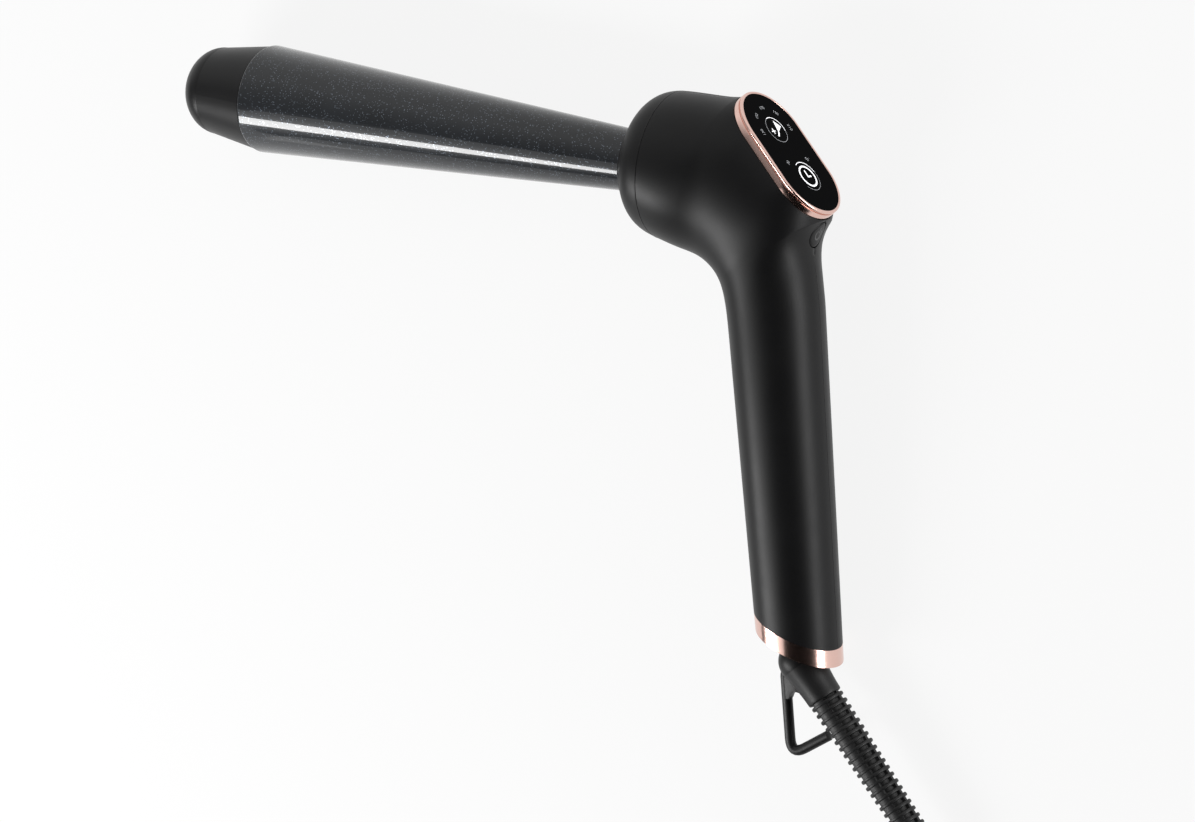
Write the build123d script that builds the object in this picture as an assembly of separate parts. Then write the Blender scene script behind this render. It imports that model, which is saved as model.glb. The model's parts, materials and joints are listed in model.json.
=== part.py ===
from build123d import *
import os
from math import atan2, cos, degrees, log, pi, radians, sin, sqrt, tan

# A hair waver: a reverse cone barrel set across a slim handle, with a touch panel on the
# outer corner and a cord that swivels at the foot of the handle. All sizes in millimetres.
#
# The model is drawn in its own plane first. Its centre lines cross at the origin: the
# handle runs down -Y and the barrel points to -X. Z runs across the tool. `s` is a distance
# along the barrel and `d` a distance down the handle, both from the crossing. At the end
# everything is laid on its side, as the tool lies on a table, with +Z up.

# Centre lines and angles
BARREL_RISE = 10.0  # degrees that the barrel points up from square to the handle
PANEL_FACING = 34.2  # degrees from +X to the panel's normal
PANEL_CENTRE = (9.9, 10.1)  # middle of the panel's face
END_SLANT = 26.0  # degrees that the foot of the handle is cut aslant
CORD_LEAN = 34.2  # degrees between the cord's exit and the handle

# Walls and fits
SHELL_WALL = 2.2
FIT = 0.1  # between fixed pieces that slide into each other
RUNNING_FIT = 0.05  # radial, between a shaft and its bearing
AIR = 0.3  # between curved faces that only pass each other

# Barrel and its cool tip
BARREL_TIP_R = 19.3
BARREL_ROOT_R = 10.2
BARREL_TIP_S = 205.0
BARREL_WALL = 1.2
BARREL_EDGE_R = 1.0
BARREL_NECK = 0.3  # step down from the cone to the tail
TAIL_FLANGE = 1.6
TIP_SKIRT = 21.0
TIP_NECK_R = 15.7
TIP_DOME = 12.4
DOME_FULLNESS = 0.53  # 0.55 would be an ellipse
TIP_SET_IN = 0.5
TIP_SPIGOT = 11.0
TIP_WALL = 2.0
INSULATOR_THICKNESS = 1.5

# Heater inside the barrel
HEATER_START_S = 62.0
HEATER_END_GAP = 14.5  # from the plate to the tip's insulator
HEATER_LENGTH = BARREL_TIP_S - TIP_SPIGOT - INSULATOR_THICKNESS - HEATER_END_GAP - HEATER_START_S
HEATER_PLATE = (14.0, 2.4)  # width and thickness
HEATER_CLAMP_WALL = 2.0
SPRING_STRIP = 0.4
SPRING_HEIGHT = 1.4
SPRING_WAVES = 6
SENSOR_R = 1.4
SENSOR_LENGTH = 6.0
LEAD_R = 0.8
LEAD_SPREAD = 3.0  # of each lead from the middle plane
LEAD_MOUTH = 12.0  # from the head's seam back to the bend at the barrel's mouth
LEAD_TURN = (-8.0, -14.0)
LEAD_BEND_R = 6.0

# Head: front ring, collar and the plate that holds the barrel
HEAD_R = 24.8
HEAD_RISE = 0.9  # how far the head's middle lies above the barrel's
HEAD_SEAM_S = 35.6
HEAD_FRONT_S = 46.0
HEAD_NOSE_R = 18.3
HEAD_NOSE_MIDDLE = (22.4, 0.68)  # radius and share of the way to the front
COLLAR_R = 15.6
COLLAR_FRONT_S = 48.5
SLEEVE_R = 13.0
RING_SPIGOT = 5.0
SPIGOT_DRAFT = 0.6  # how much the spigot narrows toward its end
MOUNT_PLATE = 2.5
MOUNT_PLATE_R = 20.3
MOUNT_SCREW_R = 1.3
MOUNT_SCREW_CIRCLE = 17.4
MOUNT_SCREWS = 3

# Elbow between head and handle
ELBOW_CENTRE_D = 38.5
ELBOW_INNER_R = 17.5
HEAD_SWELL = 0.2  # how far the head stands proud above its ring
ELBOW_FULLNESS = 1.7  # how soon the head's breadth falls to the handle's
TOP_RINGS = 5
SEAT_RINGS = 12
BACK_RINGS = 8
BACK_FLARE = 4.3  # degrees over which the back falls from the seat to the handle

# Handle
HANDLE_ROOT_R = 16.3  # at the elbow's end
HANDLE_FOOT_R = 14.4  # where the shells end
HANDLE_LENGTH = 147.7

# Touch panel
PANEL_HALF_LENGTH = 24.4
PANEL_HALF_WIDTH = 15.1
BEZEL_HEIGHT = 3.6
BEZEL_LIP = 1.1
BEZEL_CHAMFER = 0.8
BEZEL_LEDGE = 2.8
BEZEL_GROOVE = (2.15, 2.45)  # heights of the fine groove in the side wall
BEZEL_GROOVE_DEPTH = 0.35
GLASS_THICKNESS = 1.7
GLASS_SET_IN = 0.1
FOIL_THICKNESS = 0.2
TRAY_DEPTH = 5.0
TRAY_WALL = 1.2
TRAY_SHORTER = 1.3  # at each end, clear of the shells
BOARD_THICKNESS = 1.6
ICON_PLACES = (8.8, -9.8)  # along the panel from its middle
LIGHT_CIRCLE_R = 7.9  # the upper and lower small lights, round their icons
UPPER_LIGHTS = 5
LED_SIZE = (1.0, 1.0, 0.5)
SEAT_MARGIN = 0.3  # flat seat left round the bezel

# Power button
BUTTON_D = 17.2
BUTTON_R = 3.9
BUTTON_GAP = 0.35
BUTTON_TRAVEL = 0.8
BUTTON_PROUD = 0.3
BUTTON_LIFT = 0.6  # the head swells here past the handle's taper
BUTTON_FLANGE = 0.9
BUTTON_STANDOFF = 1.6  # from the wall's inner face to the flange, clear of the wall's curve
SWITCH_SIZE = (6.0, 3.4)
PLUNGER_R = 1.6
PLUNGER_LENGTH = 2.4
SWITCH_BOARD_LENGTH = 18.0

# Foot of the handle
RING_BAND = 5.3
RING_WALL = 1.5
CAP_RECESS = 1.6
CAP_DEPTH = 7.0

# Cord swivel
KNUCKLE_DROP = 11.8  # from the shells' end to the knuckle's centre
KNUCKLE_D = HANDLE_LENGTH + KNUCKLE_DROP
KNUCKLE_R = 7.6
SPINDLE_R = 4.5
SPINDLE_BORE_R = 2.4
BEARING_WALL = 2.4
BEARING_RISE = 16.7  # from the shells' end up to the bearing's top
BEARING_TOP_D = HANDLE_LENGTH - BEARING_RISE
CLIP_THICKNESS = 1.0
CLIP_R = 6.3
CLIP_GROOVE_DEPTH = 0.8
CARRIER_R = 6.0
CARRIER_LENGTH = 13.0
SPINDLE_SPARE = 1.0  # past the carrier
SPINDLE_TOP_D = BEARING_TOP_D - CLIP_THICKNESS - CARRIER_LENGTH - SPINDLE_SPARE
CONTACT_WIDTH = 2.4
CONTACT_R = 6.5
CONTACT_DEPTH = 0.6  # how deep the rings sit in their carrier
BRUSH_STRIP = 0.5
BRUSH_BLOCK = (3.0, 8.0)  # thickness and width

# Board in the handle
MAIN_BOARD_X = -1.0
MAIN_BOARD_START_D = 34.0
MAIN_BOARD_CLEAR = 10.0  # from the board to the spindle
MAIN_BOARD_END_D = SPINDLE_TOP_D - MAIN_BOARD_CLEAR
RELAY_PLACE = 12.0  # along the board from its upper end
RELAY_SIZE = (15.0, 10.0, 9.0)
CAPACITOR_PLACE = 30.0
CAPACITOR_R = 4.2
CAPACITOR_LENGTH = 14.0
FUSE_PLACE = 46.0
FUSE_SIZE = (8.0, 7.0, 6.0)

# Strain relief and hanging loop
SOCKET_R = 6.15
SOCKET_END = 14.8  # from the knuckle's centre to the first rib
RIBS = 24
RIB_PITCH = 2.62
RIB_WIDTH = 1.05
RIB_R = (6.0, 4.85)  # first and last
CORE_DEPTH = 1.45  # how far the core lies below the ribs
RAILS = ((90.0, 4.4, 0.12), (0.0, 1.3, 0.6))  # turn, width and depth below the ribs
RELIEF_LIP = 2.0
STUB_R = 3.6
STUB_LENGTH = 12.0
LOOP_WIRE_R = 1.8
LOOP_WEB = 2.4  # thickness where it joins the socket
LOOP_BAR_X = -6.3
LOOP_LENGTH = 32.7  # from the knuckle's centre to the loop's lower corner
LOOP_RISE = 27.7  # degrees that the lower arm climbs to the strain relief

# Cord, its coil and its plug
CORD_R = 3.25
COIL_MIDDLE_R = 38.5
COIL_PLACE = (4.0, -182.0)  # from the strain relief's end
TIE_TURN = -100.0
TIE_WIDTH = 8.0
TIE_THICKNESS = 0.8
PLUG_SIZE = (35.3, 34.0, 13.7)
PLUG_RELIEF = 22.0
PLUG_GROOVES = 5
PIN_R = 2.0
PIN_LENGTH = 19.0
PIN_SEAT = 8.0  # length held in the plug
PIN_SEAT_R = 1.7
PIN_SPACING = 18.6


# --- Frames of the drawing plane ---

def heading(angle):
    """Unit vector in the drawing plane, angle in degrees from +X."""
    return Vector(cos(radians(angle)), sin(radians(angle)), 0)


BARREL_DIR = heading(180 - BARREL_RISE)
PANEL_DIR = heading(PANEL_FACING)
CORD_DIR = heading(CORD_LEAN - 90)
END_DIR = heading(-90 - END_SLANT)
ACROSS = Vector(0, 0, 1)
HEAD_OFFSET = heading(90 - BARREL_RISE) * HEAD_RISE

BARREL = Plane((0, 0, 0), x_dir=ACROSS, z_dir=BARREL_DIR)
HANDLE = Plane((0, 0, 0), x_dir=(1, 0, 0), z_dir=(0, -1, 0))
PANEL_FACE = Vector(*PANEL_CENTRE, 0)
SEAT = Plane(PANEL_FACE - PANEL_DIR * BEZEL_HEIGHT, x_dir=heading(PANEL_FACING + 90), z_dir=PANEL_DIR)
FOOT = Plane((0, -HANDLE_LENGTH, 0), x_dir=heading(-END_SLANT), z_dir=END_DIR)
KNUCKLE = Plane((0, -KNUCKLE_D, 0), x_dir=heading(CORD_LEAN), z_dir=CORD_DIR)


def handle_radius(d):
    """Outer radius of the handle at a distance down it."""
    share = (d - ELBOW_CENTRE_D) / (HANDLE_LENGTH - ELBOW_CENTRE_D)
    return HANDLE_ROOT_R + (HANDLE_FOOT_R - HANDLE_ROOT_R) * share


def barrel_radius(s):
    """Outer radius of the barrel's cone at a distance along it."""
    share = (s - COLLAR_FRONT_S) / (BARREL_TIP_S - COLLAR_FRONT_S)
    return BARREL_ROOT_R + (BARREL_TIP_R - BARREL_ROOT_R) * share


BUTTON = Plane((handle_radius(BUTTON_D) + BUTTON_LIFT, -BUTTON_D, 0), x_dir=(0, 1, 0), z_dir=(1, 0, 0))


# --- Helpers ---

def turned(*corners):
    """Solid turned about local Z from (radius, height) corners."""
    outline = Polyline(*[(r, 0, h) for r, h in corners], close=True)
    return revolve(make_face(outline), Axis.Z)


def tube(outer, inner, low, high):
    """Straight tube about local Z."""
    return turned((inner, low), (outer, low), (outer, high), (inner, high))


def rod(radius, low, high):
    """Straight rod about local Z."""
    return Pos(0, 0, low) * Cylinder(radius, high - low, align=(Align.CENTER, Align.CENTER, Align.MIN))


def slab(outline, low, high):
    """Flat outline pulled from one height to another."""
    return Pos(0, 0, low) * extrude(outline, high - low)


def oval(inset):
    """The panel's outline, drawn in all round."""
    return SlotOverall(2 * (PANEL_HALF_LENGTH - inset), 2 * (PANEL_HALF_WIDTH - inset))


def bent(path, radius):
    """Round wire along a path."""
    start = path @ 0
    return sweep(Plane(start, z_dir=path % 0) * Circle(radius), path=path)


# --- Elbow: the body of head and handle ---

def elbow_centre():
    """Point about which the elbow's sections fan out."""
    return Vector(-handle_radius(ELBOW_CENTRE_D) - ELBOW_INNER_R, -ELBOW_CENTRE_D, 0)


def seat_crossing(angle):
    """Where a ray meets the panel's seat: its distance out and its place along the seat."""
    ray = heading(angle)
    reach = (SEAT.origin - elbow_centre()).dot(PANEL_DIR) / ray.dot(PANEL_DIR)
    point = elbow_centre() + ray * reach
    return reach, (point - SEAT.origin).dot(heading(PANEL_FACING + 90))


def seat_half_width(along):
    """Half width of the oval seat at a place along it."""
    half_length, half_width = PANEL_HALF_LENGTH + SEAT_MARGIN, PANEL_HALF_WIDTH + SEAT_MARGIN
    past = max(0.0, abs(along) - (half_length - half_width))
    return sqrt(max(0.0, half_width ** 2 - past ** 2))


def end_angle(side):
    """Angle of the ray to the seat's upper (1) or lower (-1) end."""
    end = SEAT.origin + heading(PANEL_FACING + 90) * side * (PANEL_HALF_LENGTH + SEAT_MARGIN)
    way = end - elbow_centre()
    return degrees(atan2(way.Y, way.X))


def fan_profile():
    """Angle of each ring of the fan and its reach, or None where the seat's edge sets it."""
    square = 90 - BARREL_RISE
    upper, lower = end_angle(1), end_angle(-1)
    level = HEAD_R + HEAD_RISE + HEAD_SWELL - elbow_centre().dot(heading(square))
    flare = seat_crossing(upper)[0] - level / cos(radians(square - upper))
    for ring in range(TOP_RINGS):
        share = ring / TOP_RINGS
        angle = square + (upper - square) * share
        yield angle, level / cos(radians(square - angle)) + flare * share ** 4
    for ring in range(SEAT_RINGS + 1):
        yield upper + (lower - upper) * (1 - cos(pi * ring / SEAT_RINGS)) / 2, None
    back = ELBOW_INNER_R + 2 * handle_radius(ELBOW_CENTRE_D)
    edge = seat_crossing(lower)[0]
    for ring in range(1, BACK_RINGS):
        share = 1 - ring / BACK_RINGS
        yield lower + BACK_FLARE * log(share), back + (edge - back) * share
    yield 0, back


def fan_rings():
    """Ellipses that fan out round the elbow, each through the edge of the panel's seat."""
    square = 90 - BARREL_RISE
    for angle, reach in fan_profile():
        depth = HANDLE_ROOT_R + (HEAD_R - HANDLE_ROOT_R) * (angle / square) ** ELBOW_FULLNESS
        if reach is None:
            crossing, along = seat_crossing(angle)
            flatness = sqrt(1 - (seat_half_width(along) / depth) ** 2)
            half = (crossing - ELBOW_INNER_R) / (1 + flatness)
        else:
            half = (reach - ELBOW_INNER_R) / 2
        ray = heading(angle)
        centre = elbow_centre() + ray * (ELBOW_INNER_R + half)
        yield Plane(centre, x_dir=ray, z_dir=heading(angle - 90)), half, depth


def elbow_rings():
    """Plane and half axes of each ellipse from the head's seam to below the foot."""
    head_middle = BARREL_DIR * HEAD_SEAM_S + HEAD_OFFSET
    yield Plane(head_middle, x_dir=heading(90 - BARREL_RISE), z_dir=-BARREL_DIR), HEAD_R, HEAD_R
    yield from fan_rings()
    below = HANDLE_LENGTH + 2 * HANDLE_FOOT_R - ELBOW_CENTRE_D
    for step in (0.08, 0.25, 0.5, 0.75, 1.0):
        d = ELBOW_CENTRE_D + below * step
        yield Plane((0, -d, 0), x_dir=(1, 0, 0), z_dir=(0, -1, 0)), handle_radius(d), handle_radius(d)


def half_elbow(side):
    """Hollow half of head and handle on one side of the middle plane."""
    start = 0 if side > 0 else 180
    sections = []
    for plane, a, b in elbow_rings():
        outer = EllipticalCenterArc((0, 0), a, b, start_angle=start, arc_size=180)
        inner_a, inner_b = a - SHELL_WALL, b - SHELL_WALL
        inner = EllipticalCenterArc((0, 0), inner_a, inner_b, start_angle=start, arc_size=180)
        front = Line((-a * side, 0), (-inner_a * side, 0))
        back = Line((inner_a * side, 0), (a * side, 0))
        sections.append((plane * make_face(outer + front + inner + back)).face())
    return loft(sections, ruled=True)


def handle_taper(inset):
    """Lower handle as a plain taper, past both sides of the foot."""
    top, bottom = ELBOW_CENTRE_D, HANDLE_LENGTH + 2 * HANDLE_FOOT_R
    r_top, r_bottom = handle_radius(top) - inset, handle_radius(bottom) - inset
    return HANDLE.location * turned((0, top), (r_top, top), (r_bottom, bottom), (0, bottom))


def foot_slab(low, high):
    """Slanted slab at the foot, heights measured out from the shells' end."""
    size = 8 * HANDLE_FOOT_R
    return FOOT.location * slab(Rectangle(size, size), low, high)


# --- Shells ---

def shell(side):
    """One of the two shells: near (1) faces up, far (-1) lies on the table."""
    size = 4 * HANDLE_LENGTH
    body = half_elbow(side)
    body -= SEAT.location * slab(Rectangle(size, size), 0, size)
    body -= foot_slab(0, size / 4)
    body -= BUTTON.location * rod(BUTTON_R + BUTTON_GAP, -HANDLE_ROOT_R / 2, HANDLE_ROOT_R / 2)
    return body


# --- Head pieces ---

def head_ring():
    """Front ring of the head: rounded nose outside, spigot into the shells, bore for the barrel."""
    spigot = HEAD_R - SHELL_WALL - FIT
    rear = HEAD_SEAM_S - RING_SPIGOT
    nose = ThreePointArc(
        (HEAD_R - 0.1, HEAD_SEAM_S + 1.6),
        (HEAD_NOSE_MIDDLE[0], HEAD_SEAM_S + HEAD_NOSE_MIDDLE[1] * (HEAD_FRONT_S - HEAD_SEAM_S)),
        (HEAD_NOSE_R, HEAD_FRONT_S),
    )
    rest = Polyline(
        (HEAD_NOSE_R, HEAD_FRONT_S),
        (0, HEAD_FRONT_S),
        (0, rear),
        (spigot - SPIGOT_DRAFT, rear),
        (spigot, HEAD_SEAM_S),
        (HEAD_R - 0.25, HEAD_SEAM_S),
        (HEAD_R, HEAD_SEAM_S + 0.25),
        (HEAD_R - 0.1, HEAD_SEAM_S + 1.6),
    )
    ring = Pos(0, HEAD_RISE, 0) * revolve(Plane.XZ * make_face(nose + rest), Axis.Z)
    ring -= rod(SLEEVE_R + FIT, rear - 1, HEAD_FRONT_S + 1)
    for angle in screw_angles():
        ring -= Rot(0, 0, angle) * Pos(MOUNT_SCREW_CIRCLE, 0, 0) * rod(MOUNT_SCREW_R, rear, rear + 6)
    return ring


def screw_angles():
    """Directions of the screws around the barrel."""
    return [360 * k / MOUNT_SCREWS for k in range(MOUNT_SCREWS)]


def barrel_collar():
    """Heat guard between barrel and head, with a sleeve in the ring's bore."""
    rear = HEAD_SEAM_S - RING_SPIGOT
    bore = BARREL_ROOT_R - BARREL_NECK + FIT
    edge = 0.5
    return turned(
        (bore, rear),
        (SLEEVE_R, rear),
        (SLEEVE_R, HEAD_FRONT_S),
        (COLLAR_R + edge, HEAD_FRONT_S),
        (COLLAR_R, COLLAR_FRONT_S - edge),
        (COLLAR_R - edge, COLLAR_FRONT_S),
        (bore, COLLAR_FRONT_S),
    )


def mount_plate():
    """Plate behind the front ring that the barrel's flange pulls against."""
    high = HEAD_SEAM_S - RING_SPIGOT
    low = high - MOUNT_PLATE
    plate = tube(MOUNT_PLATE_R, BARREL_ROOT_R - BARREL_NECK + FIT, low, high)
    for angle in screw_angles():
        plate -= Rot(0, 0, angle) * Pos(MOUNT_SCREW_CIRCLE, 0, 0) * rod(MOUNT_SCREW_R, low - 1, high + 1)
    return plate


def mount_screw(angle):
    """Screw through the mount plate into the front ring."""
    high = HEAD_SEAM_S - RING_SPIGOT
    low = high - MOUNT_PLATE
    head = turned((0, low - 1.8), (2.0, low - 1.8), (2.4, low - 1.2), (2.4, low), (0, low))
    shank = rod(MOUNT_SCREW_R - 0.02, low, high + 5.5)
    return Rot(0, 0, angle) * Pos(MOUNT_SCREW_CIRCLE, 0, 0) * (head + shank)


# --- Barrel, heater and tip ---

def barrel():
    """Reverse cone tube with a narrower tail and a flange at its end."""
    low = HEAD_SEAM_S - RING_SPIGOT - MOUNT_PLATE
    tail = BARREL_ROOT_R - BARREL_NECK
    edge = BARREL_EDGE_R
    end = BARREL_TIP_S
    crown = RadiusArc((barrel_radius(end - edge), end - edge), (barrel_radius(end) - edge, end), -edge)
    rest = Polyline(
        (barrel_radius(end) - edge, end),
        (barrel_radius(end) - BARREL_WALL, end),
        (tail - BARREL_WALL, COLLAR_FRONT_S),
        (tail - BARREL_WALL, low - 1.0),
        (tail + TAIL_FLANGE, low - 1.0),
        (tail + TAIL_FLANGE, low),
        (tail, low),
        (tail, COLLAR_FRONT_S),
        (BARREL_ROOT_R, COLLAR_FRONT_S),
        (barrel_radius(end - edge), end - edge),
    )
    return revolve(Plane.XZ * make_face(crown + rest), Axis.Z)


def barrel_bore(s):
    """Inner radius of the barrel's cone."""
    tail = BARREL_ROOT_R - BARREL_NECK - BARREL_WALL
    share = (s - COLLAR_FRONT_S) / (BARREL_TIP_S - COLLAR_FRONT_S)
    return tail + (BARREL_TIP_R - BARREL_WALL - tail) * share


def bore_plug(gap, low, high):
    """Solid that fills the barrel's bore between two heights, with a gap all round."""
    return turned((0, low), (barrel_bore(low) - gap, low), (barrel_bore(high) - gap, high), (0, high))


def dome_curve(radius, start, height):
    """Quarter of a dome's outline, upright at its edge and level at its top."""
    side_pull = (radius, start + DOME_FULLNESS * height)
    top_pull = (DOME_FULLNESS * radius, start + height)
    return Bezier((radius, start), side_pull, top_pull, (0, start + height))


def cool_tip():
    """Hollow plastic tip: a spigot in the barrel, a tapered skirt and a round dome."""
    start = BARREL_TIP_S
    neck = start + TIP_SKIRT
    top = neck + TIP_DOME
    skirt = BARREL_TIP_R - TIP_SET_IN
    spigot_low = start - TIP_SPIGOT
    inner_r = TIP_NECK_R - TIP_WALL
    dome = dome_curve(TIP_NECK_R, neck, TIP_DOME)
    hollow = dome_curve(inner_r, neck, TIP_DOME - TIP_WALL)
    outline = (
        Line((0, top), (0, top - TIP_WALL))
        + hollow
        + Polyline(
            (inner_r, neck),
            (barrel_bore(spigot_low) - FIT - TIP_WALL, spigot_low),
            (barrel_bore(spigot_low) - FIT, spigot_low),
            (barrel_bore(start) - FIT, start),
            (skirt, start),
            (TIP_NECK_R, neck),
        )
        + dome
    )
    return revolve(Plane.XZ * make_face(outline), Axis.Z)


def tip_insulator():
    """Mica disc on the end of the tip's spigot."""
    high = BARREL_TIP_S - TIP_SPIGOT
    return bore_plug(FIT, high - INSULATOR_THICKNESS, high)


def heater_clamp(side):
    """Half round aluminium clamp that presses the heater against the barrel's wall."""
    low, high = HEATER_START_S - 2, HEATER_START_S + HEATER_LENGTH + 2
    gap = HEATER_PLATE[1] / 2 + (SPRING_HEIGHT if side < 0 else 0.0)
    outer = bore_plug(FIT, low, high)
    hollow = bore_plug(FIT + HEATER_CLAMP_WALL, low - 1, high + 1)
    width = 4 * BARREL_TIP_R
    up = (Align.CENTER, Align.MIN if side > 0 else Align.MAX, Align.MIN)
    outer &= Pos(0, side * gap, low - 1) * Box(width, width, high - low + 2, align=up)
    pad = gap + HEATER_CLAMP_WALL
    hollow &= Pos(0, side * pad, low - 2) * Box(width, width, high - low + 4, align=up)
    return outer - hollow


def heater_plate():
    """Flat ceramic heater between the clamps."""
    width, thickness = HEATER_PLATE
    return slab(Rectangle(width, thickness), HEATER_START_S, HEATER_START_S + HEATER_LENGTH)


def heater_spring():
    """Wavy leaf spring between the heater and the lower clamp."""
    crest = SPRING_HEIGHT - SPRING_STRIP
    half = HEATER_LENGTH / SPRING_WAVES / 2
    low = -HEATER_PLATE[1] / 2 - SPRING_HEIGHT
    lower = [(HEATER_START_S + half * k, low + crest * (k % 2)) for k in range(2 * SPRING_WAVES + 1)]
    upper = [(s, y + SPRING_STRIP) for s, y in reversed(lower)]
    side_view = Plane((HEATER_PLATE[0] / 2, 0, 0), x_dir=(0, 0, 1), z_dir=(-1, 0, 0))
    return extrude(side_view * make_face(Polyline(*lower, *upper, close=True)), HEATER_PLATE[0])


def heat_sensor():
    """Thermistor bead seated on the upper clamp's rear end."""
    y = HEATER_PLATE[1] / 2 + SENSOR_R
    end = HEATER_START_S - 2
    return Pos(0, y, 0) * rod(SENSOR_R, end - SENSOR_LENGTH, end)


# --- Touch panel ---

def panel_bezel():
    """Metal-look frame: side wall, a fine groove and a bright lip round the glass."""
    glass = BEZEL_HEIGHT - GLASS_THICKNESS - GLASS_SET_IN
    frame = slab(oval(0), 0, BEZEL_HEIGHT)
    rim = frame.edges().filter_by(Plane.XY).group_by(Axis.Z)[-1]
    frame = chamfer(rim, BEZEL_CHAMFER)
    frame -= slab(oval(BEZEL_LIP), glass, BEZEL_HEIGHT + 1)
    frame -= slab(oval(BEZEL_LIP + BEZEL_LEDGE), -1, BEZEL_HEIGHT)
    return frame - slab(oval(-1) - oval(BEZEL_GROOVE_DEPTH), *BEZEL_GROOVE)


def panel_glass():
    """Black glass cover of the touch keys."""
    high = BEZEL_HEIGHT - GLASS_SET_IN
    return slab(oval(BEZEL_LIP + FIT / 2), high - GLASS_THICKNESS, high)


def touch_foil():
    """Thin sensor film under the glass."""
    high = BEZEL_HEIGHT - GLASS_SET_IN - GLASS_THICKNESS
    return slab(oval(BEZEL_LIP + BEZEL_LEDGE + FIT), high - FOIL_THICKNESS, high)


def tray_outline(inset):
    """The tray's outline: the panel's oval, drawn in and shorter."""
    half_length = PANEL_HALF_LENGTH - inset - TRAY_SHORTER
    return SlotOverall(2 * half_length, 2 * (PANEL_HALF_WIDTH - inset))


def panel_tray():
    """Carrier dropped through the shells that holds the display board."""
    high = BEZEL_HEIGHT - GLASS_SET_IN - GLASS_THICKNESS - FOIL_THICKNESS
    inset = BEZEL_LIP + BEZEL_LEDGE + FIT
    tray = slab(tray_outline(inset), high - TRAY_DEPTH, high)
    return tray - slab(tray_outline(inset + TRAY_WALL), high - TRAY_DEPTH + TRAY_WALL, high + 1)


def display_board_top():
    """Height of the display board's upper face above the seat."""
    high = BEZEL_HEIGHT - GLASS_SET_IN - GLASS_THICKNESS - FOIL_THICKNESS
    return high - TRAY_DEPTH + TRAY_WALL + BOARD_THICKNESS


def display_board():
    """Small board under the glass."""
    inset = BEZEL_LIP + BEZEL_LEDGE + TRAY_WALL + 2 * FIT
    top = display_board_top()
    return slab(tray_outline(inset), top - BOARD_THICKNESS, top)


def light_places():
    """Where the panel lights up: two icons, five settings above and two below."""
    for centre in ICON_PLACES:
        yield centre, 0.0
    for k in range(UPPER_LIGHTS):
        turn = radians(90 - 180 * k / (UPPER_LIGHTS - 1))
        yield ICON_PLACES[0] + LIGHT_CIRCLE_R * cos(turn), LIGHT_CIRCLE_R * sin(turn)
    for turn in (radians(45), radians(-45)):
        yield ICON_PLACES[1] + LIGHT_CIRCLE_R * cos(turn), LIGHT_CIRCLE_R * sin(turn)


def panel_lights():
    """Light emitting diodes on the display board."""
    top = display_board_top()
    length, width, height = LED_SIZE
    lamp = slab(Rectangle(width, length), top, top + height)
    return Compound(children=[Pos(x, y, 0) * lamp for x, y in light_places()])


# --- Power button ---

def button_heights():
    """Height of the button's face, of its flange and of its stem's foot, out from the handle."""
    face = BUTTON_PROUD
    flange_top = -SHELL_WALL - BUTTON_STANDOFF
    foot = flange_top - BUTTON_FLANGE
    return face, flange_top, foot


def power_button():
    """Round push button with a flange that keeps it in the shells."""
    face, flange_top, foot = button_heights()
    edge = 0.4
    return turned(
        (0, foot),
        (BUTTON_R + BUTTON_GAP + 0.6, foot),
        (BUTTON_R + BUTTON_GAP + 0.6, flange_top),
        (BUTTON_R, flange_top),
        (BUTTON_R, face - edge),
        (BUTTON_R - edge, face),
        (0, face - 0.15),
    )


def switch_plunger():
    """Plunger under the button that runs in the switch."""
    _, _, foot = button_heights()
    return rod(PLUNGER_R, foot - PLUNGER_LENGTH, foot)


def power_switch():
    """Switch body with a well for the plunger."""
    _, _, foot = button_heights()
    size, height = SWITCH_SIZE
    high = foot - BUTTON_TRAVEL - 0.3
    body = slab(Rectangle(size, size), high - height, high)
    return body - rod(PLUNGER_R + RUNNING_FIT, high - PLUNGER_LENGTH - FIT, high + 1)


def switch_board():
    """Small board across the handle that carries the power switch."""
    _, _, foot = button_heights()
    high = foot - BUTTON_TRAVEL - 0.3 - SWITCH_SIZE[1]
    reach = handle_radius(BUTTON_D) + BUTTON_LIFT + high
    inner = handle_radius(BUTTON_D) - SHELL_WALL
    width = 2 * sqrt(inner ** 2 - reach ** 2) - 12 * FIT
    return slab(Rectangle(SWITCH_BOARD_LENGTH, width), high - BOARD_THICKNESS, high)


# --- Handle electronics ---

def main_board_frame():
    """Frame on the main board's upper face: x down the handle, y across, z to the back."""
    return Plane((MAIN_BOARD_X, -MAIN_BOARD_START_D, 0), x_dir=(0, -1, 0), z_dir=(1, 0, 0))


def main_board():
    """Board along the handle, held in the shells by its edges."""
    length = MAIN_BOARD_END_D - MAIN_BOARD_START_D
    inner = handle_radius(MAIN_BOARD_END_D) - SHELL_WALL
    width = 2 * sqrt(inner ** 2 - (abs(MAIN_BOARD_X) + BOARD_THICKNESS) ** 2) - 4 * FIT
    return Pos(length / 2, 0, 0) * slab(Rectangle(length, width), -BOARD_THICKNESS, 0)


def board_block(place, size):
    """Box shaped component standing on the main board."""
    length, width, height = size
    body = Pos(place, 0, 0) * extrude(Rectangle(length, width), height)
    return chamfer(body.edges().group_by(Axis.Z)[-1], 0.5)


def board_capacitor():
    """Round film capacitor lying on the main board."""
    return Pos(CAPACITOR_PLACE, 0, CAPACITOR_R) * Rot(0, 90, 0) * Cylinder(CAPACITOR_R, CAPACITOR_LENGTH)


# --- Foot of the handle ---

def end_ring():
    """Polished slanted band at the foot."""
    band = (handle_taper(0) - handle_taper(RING_WALL)) & foot_slab(0, RING_BAND)
    return band


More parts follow.
